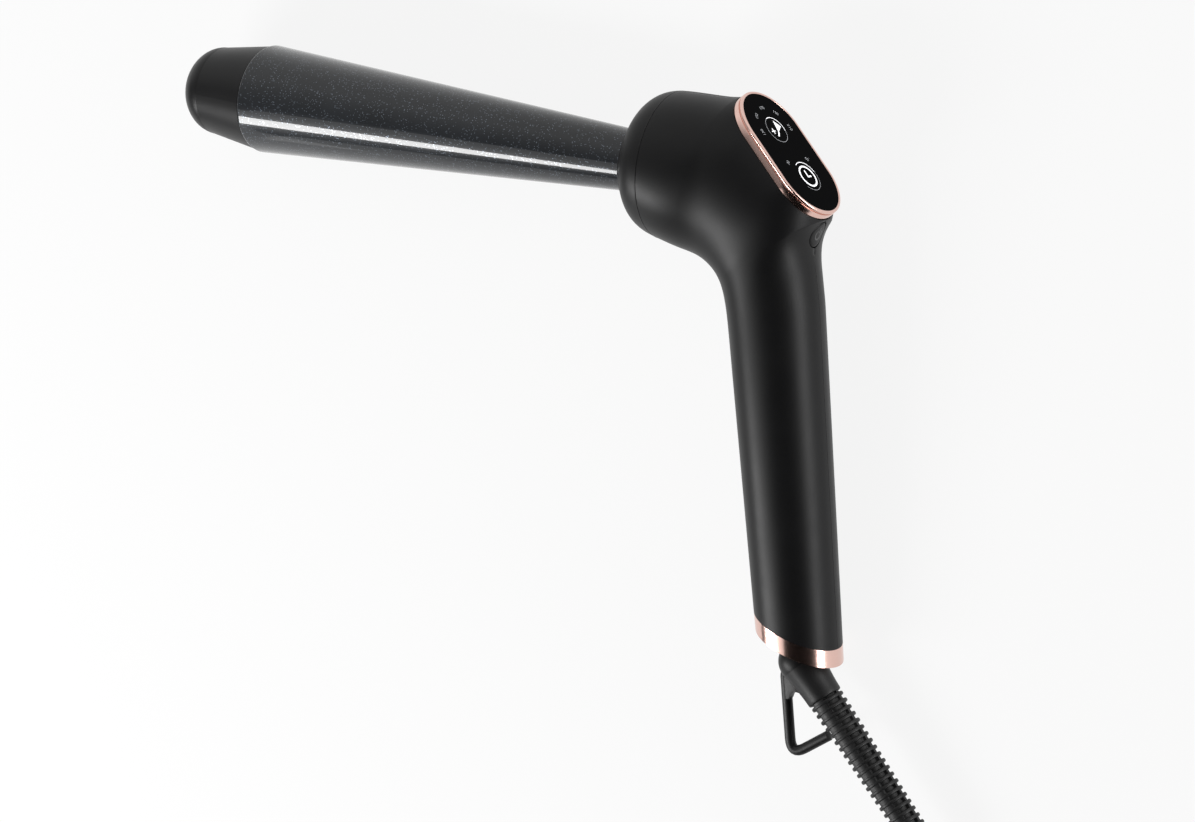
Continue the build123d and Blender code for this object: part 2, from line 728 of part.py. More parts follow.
def end_cap():
    """Plug in the foot with the bearing of the cord swivel."""
    high = RING_BAND - CAP_RECESS
    inside = handle_taper(SHELL_WALL + FIT) & foot_slab(-CAP_DEPTH, 0)
    below = handle_taper(RING_WALL + FIT) & foot_slab(0, high)
    bearing_r = SPINDLE_R + BEARING_WALL
    sleeve = HANDLE.location * rod(bearing_r, BEARING_TOP_D, HANDLE_LENGTH)
    cap = inside + below + (sleeve & foot_slab(-2 * HANDLE_LENGTH, high))
    cap -= HANDLE.location * rod(SPINDLE_R + RUNNING_FIT, BEARING_TOP_D - 1, KNUCKLE_D)
    cap -= KNUCKLE.location * Sphere(KNUCKLE_R + AIR)
    return cap


# --- Cord swivel ---

def swivel_knuckle():
    """Ball and hollow spindle that turn in the foot, with a stub for the strain relief."""
    groove_low, groove_high = BEARING_TOP_D - CLIP_THICKNESS - FIT, BEARING_TOP_D - FIT / 2
    spindle = rod(SPINDLE_R, SPINDLE_TOP_D, KNUCKLE_D)
    spindle -= tube(2 * SPINDLE_R, SPINDLE_R - CLIP_GROOVE_DEPTH, groove_low, groove_high)
    body = HANDLE.location * spindle + KNUCKLE.location * Sphere(KNUCKLE_R)
    body += KNUCKLE.location * rod(STUB_R, 0, KNUCKLE_R + STUB_LENGTH)
    return body - HANDLE.location * rod(SPINDLE_BORE_R, SPINDLE_TOP_D - 1, KNUCKLE_D)


def swivel_clip():
    """Spring clip that holds the spindle above its bearing."""
    high = BEARING_TOP_D - FIT / 2
    return tube(CLIP_R, SPINDLE_R - CLIP_GROOVE_DEPTH + FIT / 2, high - CLIP_THICKNESS + FIT / 2, high)


def contact_heights():
    """Ends of the insulating carrier and the middles of its two rings, down the handle."""
    high = BEARING_TOP_D - CLIP_THICKNESS - FIT
    low = high - CARRIER_LENGTH
    return low, high, (low + 0.28 * CARRIER_LENGTH, low + 0.72 * CARRIER_LENGTH)


def contact_carrier():
    """Insulating sleeve on the spindle with grooves for the contact rings."""
    low, high, middles = contact_heights()
    carrier = tube(CARRIER_R, SPINDLE_R + FIT / 2, low, high)
    half = CONTACT_WIDTH / 2
    for middle in middles:
        carrier -= tube(2 * CARRIER_R, CARRIER_R - CONTACT_DEPTH, middle - half, middle + half)
    return carrier


def contact_ring(index):
    """Brass ring that carries one pole past the swivel."""
    middle = contact_heights()[2][index]
    half = CONTACT_WIDTH / 2 - FIT / 2
    return tube(CONTACT_R, CARRIER_R - CONTACT_DEPTH + FIT / 2, middle - half, middle + half)


def brush_block_back():
    """Where the brush block's outer corners touch the inside of the shells."""
    inner = handle_radius(BEARING_TOP_D) - SHELL_WALL - FIT
    return sqrt(inner ** 2 - (BRUSH_BLOCK[1] / 2) ** 2)


def brush_block():
    """Insulating block in the shells that carries the two brushes."""
    low, high, _ = contact_heights()
    thickness, width = BRUSH_BLOCK
    block = Box(thickness, width, high - low, align=(Align.MAX, Align.CENTER, Align.MIN))
    return Pos(brush_block_back(), 0, low) * block


def brush(index):
    """Bent brass strip from the block to one contact ring."""
    middle = contact_heights()[2][index]
    block_face = brush_block_back() - BRUSH_BLOCK[0]
    touch = CONTACT_R + RUNNING_FIT
    width = CONTACT_WIDTH - CONTACT_DEPTH
    inward = (Align.MIN, Align.CENTER, Align.CENTER)
    foot = Pos(block_face - BRUSH_STRIP, 0, 0) * Box(BRUSH_STRIP, 5.0, width, align=inward)
    bridge = Pos(touch, 0, 0) * Box(block_face - touch, 1.0, width, align=inward)
    return Pos(0, 0, middle) * (foot + bridge)


# --- Strain relief and hanging loop ---

def relief_length():
    """From the knuckle's centre to the end of the strain relief."""
    return SOCKET_END + RIBS * RIB_PITCH + RELIEF_LIP


def rib_radius(z):
    """Radius over the ribs at a distance from the knuckle's centre."""
    share = (z - SOCKET_END) / (RIBS * RIB_PITCH)
    return RIB_R[0] + (RIB_R[1] - RIB_R[0]) * share


def rib_corners():
    """Corners of the ribbed outline, one rib after another."""
    for k in range(RIBS):
        start = SOCKET_END + (k + 0.5) * RIB_PITCH - RIB_WIDTH / 2
        end = start + RIB_WIDTH
        radius = rib_radius(start)
        yield radius - CORE_DEPTH, start
        yield radius, start + 0.25
        yield radius, end - 0.25
        yield radius - CORE_DEPTH, end


def strain_relief():
    """Soft sleeve: smooth socket on the knuckle, then ribs joined by two broad and two thin rails."""
    length = relief_length()
    tip = rib_radius(length) - 0.2
    outline = [(0, 0), (SOCKET_R, 0), (SOCKET_R, SOCKET_END - 0.6), (SOCKET_R - 0.4, SOCKET_END)]
    outline += [(rib_radius(SOCKET_END) - CORE_DEPTH, SOCKET_END)]
    outline += list(rib_corners())
    outline += [(rib_radius(length) - CORE_DEPTH, length - RELIEF_LIP)]
    outline += [(tip, length - RELIEF_LIP), (tip, length), (0, length)]
    sleeve = turned(*outline)
    start, end = SOCKET_END - 0.5, length - RELIEF_LIP + 0.2
    for turn, width, depth in RAILS:
        rails = Rot(0, 0, turn) * slab(Rectangle(4 * RIB_R[0], width), start, end)
        low, high = rib_radius(start) - depth, rib_radius(end) - depth
        sleeve += rails & turned((0, start), (low, start), (high, end), (0, end))
    sleeve -= Sphere(KNUCKLE_R + FIT / 5)
    return sleeve - rod(STUB_R + FIT / 2, 0, KNUCKLE_R + STUB_LENGTH + FIT)


def hanging_loop():
    """Loop moulded on the strain relief for hanging the tool up."""
    top = Vector(LOOP_BAR_X, -KNUCKLE_D - 5.0, 0)
    corner = Vector(LOOP_BAR_X, -KNUCKLE_D - LOOP_LENGTH, 0)
    arm = heading(LOOP_RISE)
    reach = (2 * KNUCKLE_R) / arm.X
    path = FilletPolyline(top, corner, corner + arm * reach, radius=3.6)
    wire = bent(path, LOOP_WIRE_R)
    web_corners = [(0, 0), (0, -7.5), (4.2, -6.5), (6.0, 0)]
    web_outline = Polyline(*[top + Vector(x, y, 0) for x, y in web_corners], close=True)
    web = extrude(make_face(web_outline), LOOP_WEB / 2, both=True)
    envelope = turned(
        (0, 0),
        (SOCKET_R + FIT / 2, 0),
        (SOCKET_R + FIT / 2, SOCKET_END),
        (rib_radius(SOCKET_END) + FIT / 2, SOCKET_END),
        (rib_radius(relief_length()) + FIT / 2, relief_length()),
        (0, relief_length()),
    )
    loop = wire + web - KNUCKLE.location * envelope
    loop -= KNUCKLE.location * Sphere(KNUCKLE_R + AIR)
    return loop.solids().sort_by(SortBy.VOLUME)[-1]


# --- Wiring held inside ---

def heater_leads():
    """Two leads from the heater through the barrel's tail to the main board."""
    leads = []
    for side in (-1, 1):
        across = side * LEAD_SPREAD
        start = BARREL_DIR * HEATER_START_S + ACROSS * across
        mouth = BARREL_DIR * (HEAD_SEAM_S - LEAD_MOUTH) + ACROSS * across
        turn = Vector(*LEAD_TURN, across)
        end = Vector(MAIN_BOARD_X - BOARD_THICKNESS / 2, -MAIN_BOARD_START_D + AIR, across)
        path = FilletPolyline(start, mouth, turn, end, radius=LEAD_BEND_R)
        leads.append(bent(path, LEAD_R))
    return Compound(children=leads)


# --- Laying the tool on its side ---

def resting_plane():
    """Plane that the head, the barrel's tip and the handle's foot rest on, from three circles."""
    tip = BARREL_TIP_S - BARREL_EDGE_R
    foot = HANDLE_LENGTH + RING_BAND
    rests = (
        (BARREL_DIR * (HEAD_SEAM_S - 2) + HEAD_OFFSET, BARREL_DIR, HEAD_R),
        (BARREL_DIR * tip, BARREL_DIR, barrel_radius(tip)),
        (Vector(0, -foot, 0), Vector(0, -1, 0), handle_radius(foot)),
    )
    normal = Vector(0, 0, 1)
    for _ in range(20):
        feet = []
        for centre, axis, radius in rests:
            across = normal - axis * normal.dot(axis)
            feet.append(centre - across.normalized() * radius)
        normal = (feet[1] - feet[0]).cross(feet[2] - feet[0]).normalized()
        if normal.Z < 0:
            normal = -normal
    side = (Vector(1, 0, 0) - normal * normal.X).normalized()
    return Plane(feet[0], x_dir=side, z_dir=normal)


# --- Cord, laid on the table ---

def corner_radii(points):
    """Radius at each corner that its shorter run allows."""
    radii = []
    for before, here, after in zip(points, points[1:], points[2:]):
        into, out = here - before, after - here
        half_turn = radians(into.get_angle(out)) / 2
        radii.append(0.45 * min(into.length, out.length) / tan(half_turn))
    return radii


def cord_stretch(name, points):
    """Cord along straight runs and tangent arcs."""
    radii = corner_radii(points)
    path = FilletPolyline(*points, radius=radii)
    body = bent(path, CORD_R)
    share = body.volume / (pi * CORD_R ** 2 * path.length)
    print(name, "length", round(path.length, 1), "radii", [round(r) for r in radii])
    print(name, "volume share", round(share, 4))
    return body


def coil_places():
    """Middles of the turns in the bundle, packed two, three and two: across and up."""
    row = CORD_R * sqrt(3)
    rows = ((0, (-CORD_R, CORD_R)), (row, (2 * CORD_R, -2 * CORD_R)), (2 * row, (-CORD_R, CORD_R)))
    return [Vector(across, up, 0) for up, places in rows for across in places]


def coil_centre(exit_point):
    """Middle of the coil on the table."""
    return Vector(exit_point.X + COIL_PLACE[0], exit_point.Y + COIL_PLACE[1], 0)


def coil_level():
    """Height of the coil's lowest turn, which lies on the tie."""
    return TIE_THICKNESS + FIT + CORD_R


def bundle_outline(margin):
    """Outline round the bundle of turns, with a margin."""
    lower_left, lower_right, right, left, upper_left, upper_right = coil_places()
    corners = [lower_left, lower_right, right, upper_right, upper_left, left]
    hexagon = make_face(Polyline(*corners, close=True))
    return Pos(COIL_MIDDLE_R, coil_level()) * offset(hexagon, CORD_R + margin)


def cord_coil():
    """Closed solid of the coil's outer shape."""
    return revolve(Plane.XZ * bundle_outline(0), Axis.Z)


def cord_tie():
    """Band round the coil's bundle that keeps the turns together."""
    band = bundle_outline(FIT + TIE_THICKNESS) - bundle_outline(FIT)
    spread = degrees(TIE_WIDTH / COIL_MIDDLE_R)
    return Rot(0, 0, TIE_TURN) * revolve(Plane.XZ * band, Axis.Z, spread)


def lead_points(exit_point, direction):
    """Route from the strain relief down to the table, until the cord lies still."""
    start = exit_point
    first = start + direction * 36
    return [
        start,
        first,
        Vector(start.X + 37, start.Y - 66, CORD_R),
        Vector(start.X + 44, start.Y - 94, CORD_R),
    ]


def run_points(exit_point, direction):
    """Route on from the lead's end into the coil's lowest turn."""
    side = COIL_MIDDLE_R + CORD_R
    centre = coil_centre(exit_point)
    before, start = lead_points(exit_point, direction)[-2:]
    return [
        start,
        start + (start - before).normalized() * 24,
        Vector(centre.X + side + 0.8, centre.Y + 42, CORD_R + 0.3),
        Vector(centre.X + side, centre.Y + 14, coil_level()),
    ]


def tail_points(exit_point):
    """Route from the coil's outermost turn to the plug's strain relief."""
    side = COIL_MIDDLE_R + 2 * CORD_R
    level = coil_level() + CORD_R * sqrt(3)
    centre = coil_centre(exit_point)
    return [
        Vector(centre.X - side, centre.Y + 12, level),
        Vector(centre.X - side - 1.0, centre.Y + 36, level - 0.6),
        Vector(centre.X - side - 11.0, centre.Y + 59, PLUG_SIZE[2] / 2),
        Vector(centre.X - side - 29.0, centre.Y + 75, PLUG_SIZE[2] / 2),
    ]


# --- Plug ---

def plug_body():
    """Flat two pin plug: wide at the pins, drawn in to the cord. Local Z points along the pins."""
    width, length, thickness = PLUG_SIZE
    front = RectangleRounded(width, thickness, 4.0)
    waist = RectangleRounded(width * 0.94, thickness, 4.0)
    rear = RectangleRounded(width * 0.45, thickness * 0.8, 3.5)
    sections = [rear, Pos(0, 0, length * 0.5) * waist, Pos(0, 0, length) * front]
    body = loft([section.face() for section in sections], ruled=True)
    for side in (-1, 1):
        body -= Pos(side * PIN_SPACING / 2, 0, 0) * rod(PIN_SEAT_R, length - PIN_SEAT, length + 1)
    return body


def plug_relief():
    """Tapered ribbed sleeve where the cord enters the plug."""
    outline = [(0, -PLUG_RELIEF)]
    pitch = PLUG_RELIEF / PLUG_GROOVES
    for k in range(PLUG_GROOVES):
        low = -PLUG_RELIEF + k * pitch
        radius = CORD_R + 0.9 + 0.3 * k
        outline += [(radius, low), (radius, low + 0.68 * pitch), (radius - 0.7, low + 0.68 * pitch)]
        outline += [(radius - 0.7, low + pitch)]
    return turned(*outline, (0, 0))


def plug_pin(side):
    """Round pin seated in the plug's body."""
    length = PLUG_SIZE[1]
    root, tip = length - PIN_SEAT, length + PIN_LENGTH
    shank = turned((0, length), (PIN_R, length), (PIN_R, tip - 1), (PIN_R - 0.9, tip), (0, tip))
    pin = shank + rod(PIN_SEAT_R, root, length)
    return Pos(side * PIN_SPACING / 2, 0, 0) * pin


def plug_frame(exit_point):
    """Frame at the plug's rear, pointing along its pins, lying flat on the table."""
    points = tail_points(exit_point)
    along = (points[-1] - points[-2]).normalized()
    rear = points[-1] + along * PLUG_RELIEF
    return Plane(rear, x_dir=along.cross(Vector(0, 0, 1)), z_dir=along)


def cord_pieces(exit_point, direction):
    """The cord, its coil, its tie and its plug, in the part's own frame."""
    centre = Pos(*coil_centre(exit_point))
    coil = centre * cord_coil()
    plug = plug_frame(exit_point).location
    return {
        "cord_lead": cord_stretch("cord_lead", lead_points(exit_point, direction)),
        "cord_run": cord_stretch("cord_run", run_points(exit_point, direction)) - coil,
        "cord_tail": cord_stretch("cord_tail", tail_points(exit_point)) - coil,
        "cord_coil": coil,
        "cord_tie": centre * cord_tie(),
        "plug_relief": plug * plug_relief(),
        "plug_body": plug * plug_body(),
        "plug_pin_1": plug * plug_pin(-1),
        "plug_pin_2": plug * plug_pin(1),
    }


# --- Assembly ---

def fixed_pieces():
    """Every piece that stays with the handle, in the drawing plane."""
    pieces = {"shell_near": shell(1), "shell_far": shell(-1)}
    barrel_side = {
        "head_ring": head_ring(),
        "barrel_collar": barrel_collar(),
        "mount_plate": mount_plate(),
        "barrel": barrel(),
        "cool_tip": cool_tip(),
        "tip_insulator": tip_insulator(),
        "heater_plate": heater_plate(),
        "heater_spring": heater_spring(),
        "heater_clamp_upper": heater_clamp(1),
        "heater_clamp_lower": heater_clamp(-1),
        "heat_sensor": heat_sensor(),
    }
    for index, angle in enumerate(screw_angles(), start=1):
        barrel_side[f"mount_screw_{index}"] = mount_screw(angle)
    for name, solid in barrel_side.items():
        pieces[name] = BARREL.location * solid
    panel = {
        "panel_bezel": panel_bezel(),
        "panel_glass": panel_glass(),
        "touch_foil": touch_foil(),
        "panel_tray": panel_tray(),
        "display_board": display_board(),
        "panel_lights": panel_lights(),
    }
    for name, solid in panel.items():
        pieces[name] = SEAT.location * solid
    pieces["power_switch"] = BUTTON.location * power_switch()
    pieces["switch_board"] = BUTTON.location * switch_board()
    board = main_board_frame().location
    pieces["main_board"] = board * main_board()
    pieces["board_relay"] = board * board_block(RELAY_PLACE, RELAY_SIZE)
    pieces["board_capacitor"] = board * board_capacitor()
    pieces["board_fuse"] = board * board_block(FUSE_PLACE, FUSE_SIZE)
    pieces["end_ring"] = end_ring()
    pieces["end_cap"] = end_cap()
    pieces["brush_block"] = HANDLE.location * brush_block()
    pieces["brush_1"] = HANDLE.location * brush(0)
    pieces["brush_2"] = HANDLE.location * brush(1)
    pieces["heater_leads"] = heater_leads()
    return pieces


def moving_pieces():
    """The button's pieces and the pieces that turn with the cord swivel."""
    return {
        "power_button": BUTTON.location * power_button(),
        "switch_plunger": BUTTON.location * switch_plunger(),
        "swivel_knuckle": swivel_knuckle(),
        "swivel_clip": HANDLE.location * swivel_clip(),
        "contact_carrier": HANDLE.location * contact_carrier(),
        "contact_ring_1": HANDLE.location * contact_ring(0),
        "contact_ring_2": HANDLE.location * contact_ring(1),
        "strain_relief": KNUCKLE.location * strain_relief(),
        "hanging_loop": hanging_loop(),
    }


def lay_down(pieces):
    """Moves from the drawing plane to the part's frame: on its side, over the origin."""
    rest = resting_plane()
    lay = rest.location.inverse()
    box = Compound(children=[lay * solid for solid in pieces.values()]).bounding_box()
    return Pos(-box.center().X, -box.center().Y, -box.min.Z) * lay


def main():
    os.makedirs("parts", exist_ok=True)
    pieces = fixed_pieces() | moving_pieces()
    lay = lay_down(pieces)
    laid = {name: lay * solid for name, solid in pieces.items()}
    way_out = lay * Location(KNUCKLE) * Pos(0, 0, relief_length())
    exit_point = Vector(*way_out.position)
    direction = Plane(way_out).z_dir
    print("cord leaves at", exit_point, "heading", direction)
    for name, plane in {"handle": HANDLE, "button": BUTTON, "knuckle": KNUCKLE, "barrel": BARREL}.items():
        laid_plane = Plane(lay * Location(plane))
        print(name, "at", laid_plane.origin, "along", laid_plane.z_dir)
    laid |= cord_pieces(exit_point, direction)
    for name, solid in laid.items():
        export_step(solid, f"parts/{name}.step")


if __name__ == "__main__":
    main()
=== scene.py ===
"""Looks of a corded hair waver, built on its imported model.

The tool lies on its side on a pale floor. Its own plane, in which the barrel and the handle
lie, is found from the model's joints, so every piece is placed on the tool rather than in
the room. Lengths are in metres; sizes given in millimetres are multiplied by MM. PRINT holds
the heights of a print's two sides over its ground, in millimetres.
"""

from __future__ import annotations

import json
import logging
import math
from dataclasses import dataclass, field
from enum import Enum
from typing import Sequence

import bmesh
import bpy
from mathutils import Matrix, Vector


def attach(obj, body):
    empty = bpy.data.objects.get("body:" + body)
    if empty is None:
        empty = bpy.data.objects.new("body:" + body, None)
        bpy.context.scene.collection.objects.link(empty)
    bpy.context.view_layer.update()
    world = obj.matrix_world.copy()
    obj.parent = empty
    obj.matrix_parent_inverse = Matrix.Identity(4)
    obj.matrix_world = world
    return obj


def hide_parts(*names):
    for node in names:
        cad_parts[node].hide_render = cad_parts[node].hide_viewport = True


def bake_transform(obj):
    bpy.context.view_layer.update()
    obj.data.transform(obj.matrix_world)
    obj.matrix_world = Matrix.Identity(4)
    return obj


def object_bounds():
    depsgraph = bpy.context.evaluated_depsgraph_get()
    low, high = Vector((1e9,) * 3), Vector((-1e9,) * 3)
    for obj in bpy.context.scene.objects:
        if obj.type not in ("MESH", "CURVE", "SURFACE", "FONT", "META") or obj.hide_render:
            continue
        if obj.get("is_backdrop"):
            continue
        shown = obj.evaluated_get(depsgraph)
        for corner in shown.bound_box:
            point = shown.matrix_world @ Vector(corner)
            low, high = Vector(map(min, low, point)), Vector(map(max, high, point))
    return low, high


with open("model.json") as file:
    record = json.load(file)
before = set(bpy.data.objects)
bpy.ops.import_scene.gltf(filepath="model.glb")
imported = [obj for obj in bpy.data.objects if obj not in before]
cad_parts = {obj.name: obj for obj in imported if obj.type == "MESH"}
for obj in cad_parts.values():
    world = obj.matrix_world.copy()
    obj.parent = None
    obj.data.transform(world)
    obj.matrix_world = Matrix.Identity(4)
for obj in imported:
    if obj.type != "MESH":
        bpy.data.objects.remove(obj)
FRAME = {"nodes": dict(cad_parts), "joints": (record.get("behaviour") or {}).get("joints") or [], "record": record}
CAD_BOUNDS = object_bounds()
MM = 0.001
PRINT = (0.005, 0.03)
TOOL = "tool"
BUTTON = "button"
SWIVEL = "cord_swivel"
LOG = logging.getLogger("hair_waver")

Color = tuple[float, float, float]
Outline = list[tuple[float, float]]


class Socket(Enum):
    """Shader sockets that may change over a surface."""

    COLOR = "Base Color"
    ROUGHNESS = "Roughness"
    METALLIC = "Metallic"
    EMISSION = "Emission Color"
    NORMAL = "Normal"


class Signal:
    """A number or colour in a node tree. Arithmetic on it adds Math nodes."""

    def __init__(self, finish: "TreeWriter", link: bpy.types.NodeSocket) -> None:
        """Keeps the output socket that carries the value, and its tree."""
        self.finish = finish
        self.link = link

    def math(self, operation: str, *others: "Signal | float") -> "Signal":
        """Adds one Math node on this value and further ones, and gives its result."""
        values = {0: self} | {i + 1: other for i, other in enumerate(others)}
        return self.finish.add("ShaderNodeMath", {"operation": operation}, values)

    def __add__(self, other: "Signal | float") -> "Signal":
        """Sum."""
        return self.math("ADD", other)

    def __radd__(self, other: float) -> "Signal":
        """Sum with a number on the left."""
        return self.math("ADD", other)

    def __sub__(self, other: "Signal | float") -> "Signal":
        """Difference."""
        return self.math("SUBTRACT", other)

    def __rsub__(self, other: float) -> "Signal":
        """Difference from a number."""
        return self.math("SUBTRACT", other).math("MULTIPLY", -1.0)

    def __mul__(self, other: "Signal | float") -> "Signal":
        """Product."""
        return self.math("MULTIPLY", other)

    def __rmul__(self, other: float) -> "Signal":
        """Product with a number on the left."""
        return self.math("MULTIPLY", other)

    def step(self, low: float, high: float) -> "Signal":
        """Smooth step of this value: 0 below the low limit, 1 above the high one."""
        values = {"Value": self, "From Min": low, "From Max": high}
        return self.finish.add("ShaderNodeMapRange", {"interpolation_type": "SMOOTHSTEP"}, values)


class TreeWriter:
    """Adds nodes to a tree and links them."""

    tree: bpy.types.NodeTree

    def add(self, kind: str, settings: dict, values: dict, output: int | str = 0) -> Signal:
        """Adds a node of any kind.

        Args:
            kind: Node type.
            settings: The node's own settings, set first.
            values: Socket name or index to a number, colour or Signal.
            output: Which output to hand back.

        Returns:
            The chosen output.
        """
        node = self.tree.nodes.new(kind)
        for key, value in settings.items():
            setattr(node, key, value)
        for key, value in values.items():
            if isinstance(value, Signal):
                self.tree.links.new(value.link, node.inputs[key])
            else:
                node.inputs[key].default_value = value
        return Signal(self, node.outputs[output])


class NodeFinish(TreeWriter):
    """A material made of nodes round one Principled shader."""

    def __init__(self, name: str) -> None:
        """Starts an empty tree with its shader and output.

        Args:
            name: Material name.
        """
        self.material = bpy.data.materials.new(name)
        self.material.use_nodes = True
        self.tree = self.material.node_tree
        self.tree.nodes.clear()
        self.shader = self.tree.nodes.new("ShaderNodeBsdfPrincipled")
        output = self.tree.nodes.new("ShaderNodeOutputMaterial")
        self.tree.links.new(self.shader.outputs[0], output.inputs["Surface"])

    def place(self) -> Signal:
        """Object coordinates."""
        return self.add("ShaderNodeTexCoord", {}, {}, "Object")

    def noise(self, size: float, detail: float = 2.0) -> Signal:
        """Noise with features of a size in metres, 0 to 1."""
        values = {"Vector": self.place(), "Scale": 1.0 / size, "Detail": detail}
        return self.add("ShaderNodeTexNoise", {}, values)

    def cells(self, size: float) -> tuple[Signal, Signal]:
        """Random cells.

        Args:
            size: Their size in metres.

        Returns:
            The distance from each cell's middle, and a colour for each cell.
        """
        values = {"Vector": self.place(), "Scale": 1.0 / size}
        distance = self.add("ShaderNodeTexVoronoi", {}, values, "Distance")
        color = self.add("ShaderNodeTexVoronoi", {}, values, "Color")
        return distance, color

    def mix(
        self, share: Signal | float, low: Sequence[float] | Signal, high: Sequence[float] | Signal
    ) -> Signal:
        """Mixes two colours by the share of the second one."""
        first, second = (tint if isinstance(tint, Signal) else (*tint, 1.0) for tint in (low, high))
        return self.add("ShaderNodeMix", {"data_type": "RGBA"}, {0: share, 6: first, 7: second}, 2)

    def bump(self, height: Signal, depth: float) -> None:
        """Raises the surface by a height of the given depth in metres."""
        normal = self.add("ShaderNodeBump", {}, {"Height": height, "Distance": depth, "Strength": 1.0})
        self.feed(Socket.NORMAL, normal)

    def feed(self, socket: Socket, value: "Signal | float | Sequence[float]") -> None:
        """Puts a value or a link on the shader.

        Args:
            socket: One of the shader's sockets.
            value: Number, colour or link.
        """
        target = self.shader.inputs[socket.value]
        if isinstance(value, Signal):
            self.tree.links.new(value.link, target)
        elif isinstance(value, (int, float)):
            target.default_value = value
        else:
            target.default_value = (*value, 1.0)

    def constant(self, **values: float) -> None:
        """Sets plain numbers on the shader's own sockets, names written with underscores."""
        for key, value in values.items():
            self.shader.inputs[key.replace("_", " ")].default_value = value


@dataclass(frozen=True)
class SoftTouch:
    """Matte lacquered plastic: fine grain and faint mottling of its sheen."""

    name: str
    color: Color = (0.0052, 0.0052, 0.0055)
    roughness: float = 0.42
    grain: float = 0.00035
    depth: float = 0.000008

    def make(self) -> bpy.types.Material:
        """Builds the material.

        Returns:
            The material.
        """
        finish = NodeFinish(self.name)
        grain = finish.noise(self.grain, 3.0)
        mottle = finish.noise(0.012, 2.0)
        lighter = tuple(channel * 1.35 for channel in self.color)
        finish.feed(Socket.COLOR, finish.mix(grain.step(0.35, 0.75), self.color, lighter))
        finish.feed(Socket.ROUGHNESS, mottle * 0.10 + (self.roughness - 0.05))
        finish.bump(grain, self.depth)
        finish.constant(Specular_IOR_Level=0.20)
        return finish.material


@dataclass(frozen=True)
class SpeckledCeramic:
    """Dark glazed ceramic with fine metal flakes."""

    name: str
    color: Color = (0.010, 0.012, 0.015)
    flake: Color = (0.30, 0.35, 0.42)
    flake_size: float = 0.00042

    def make(self) -> bpy.types.Material:
        """Builds the material.

        Returns:
            The material.
        """
        finish = NodeFinish(self.name)
        distance, cell = finish.cells(self.flake_size)
        pick = finish.add("ShaderNodeSeparateColor", {}, {"Color": cell})
        flakes = pick.step(0.80, 0.92) * (1.0 - distance.step(0.25, 0.42))
        cloud = finish.noise(0.02, 3.0)
        ground = finish.mix(cloud.step(0.3, 0.8), self.color, tuple(c * 1.5 for c in self.color))
        finish.feed(Socket.COLOR, finish.mix(flakes * 0.75, ground, self.flake))
        finish.feed(Socket.METALLIC, flakes * 0.6)
        finish.feed(Socket.ROUGHNESS, 0.34 - flakes * 0.12)
        finish.bump(finish.noise(self.flake_size, 1.0), 0.000010)
        finish.constant(Coat_Weight=0.9, Coat_Roughness=0.04, Coat_IOR=1.42, Specular_IOR_Level=0.12)
        return finish.material


@dataclass(frozen=True)
class PolishedMetal:
    """Polished or plated metal with very fine haze."""

    name: str
    color: Color
    roughness: float = 0.16
    haze: float = 0.06

    def make(self) -> bpy.types.Material:
        """Builds the material.

        Returns:
            The material.
        """
        finish = NodeFinish(self.name)
        haze = finish.noise(0.0006, 2.0)
        warm = tuple(min(1.0, channel * 1.04) for channel in self.color)
        finish.feed(Socket.COLOR, finish.mix(finish.noise(0.006, 2.0), self.color, warm))
        finish.feed(Socket.METALLIC, 1.0)
        finish.feed(Socket.ROUGHNESS, haze * self.haze + self.roughness)
        finish.bump(haze, 0.0000015)
        return finish.material


@dataclass(frozen=True)
class BlackGlass:
    """Deep black glossy cover."""

    name: str

    def make(self) -> bpy.types.Material:
        """Builds the material.

        Returns:
            The material.
        """
        finish = NodeFinish(self.name)
        smudge = finish.noise(0.005, 3.0)
        finish.feed(Socket.COLOR, (0.0015, 0.0015, 0.0018))
        finish.feed(Socket.ROUGHNESS, smudge.step(0.45, 0.9) * 0.05 + 0.05)
        finish.constant(Specular_IOR_Level=0.005)
        return finish.material


@dataclass(frozen=True)
class Rubber:
    """Flexible black moulding."""

    name: str
    color: Color = (0.0065, 0.0065, 0.0068)
    roughness: float = 0.48
    grain: float = 0.0006

    def make(self) -> bpy.types.Material:
        """Builds the material.

        Returns:
            The material.
        """
        finish = NodeFinish(self.name)
        grain = finish.noise(self.grain, 4.0)
        dust = finish.noise(0.009, 3.0)
        dusty = tuple(channel + 0.010 for channel in self.color)
        finish.feed(Socket.COLOR, finish.mix(dust.step(0.5, 0.85), self.color, dusty))
        finish.feed(Socket.ROUGHNESS, grain * 0.14 + (self.roughness - 0.07))
        finish.bump(grain, 0.000012)
        finish.constant(Specular_IOR_Level=0.32)
        return finish.material


@dataclass(frozen=True)
class LitPrint:
    """Light that shows through the black cover."""

    name: str
    color: Color = (0.95, 0.96, 0.98)
    glow: float = 0.9

    def make(self) -> bpy.types.Material:
        """Builds the material.

        Returns:
            The material.
        """
        finish = NodeFinish(self.name)
        grain = finish.noise(0.0003, 2.0)
        dim = tuple(channel * 0.82 for channel in self.color)
        lit = finish.mix(grain, dim, self.color)
        finish.feed(Socket.COLOR, lit)
        finish.feed(Socket.EMISSION, lit)
        finish.feed(Socket.ROUGHNESS, 0.4)
        finish.constant(Emission_Strength=self.glow)
        return finish.material


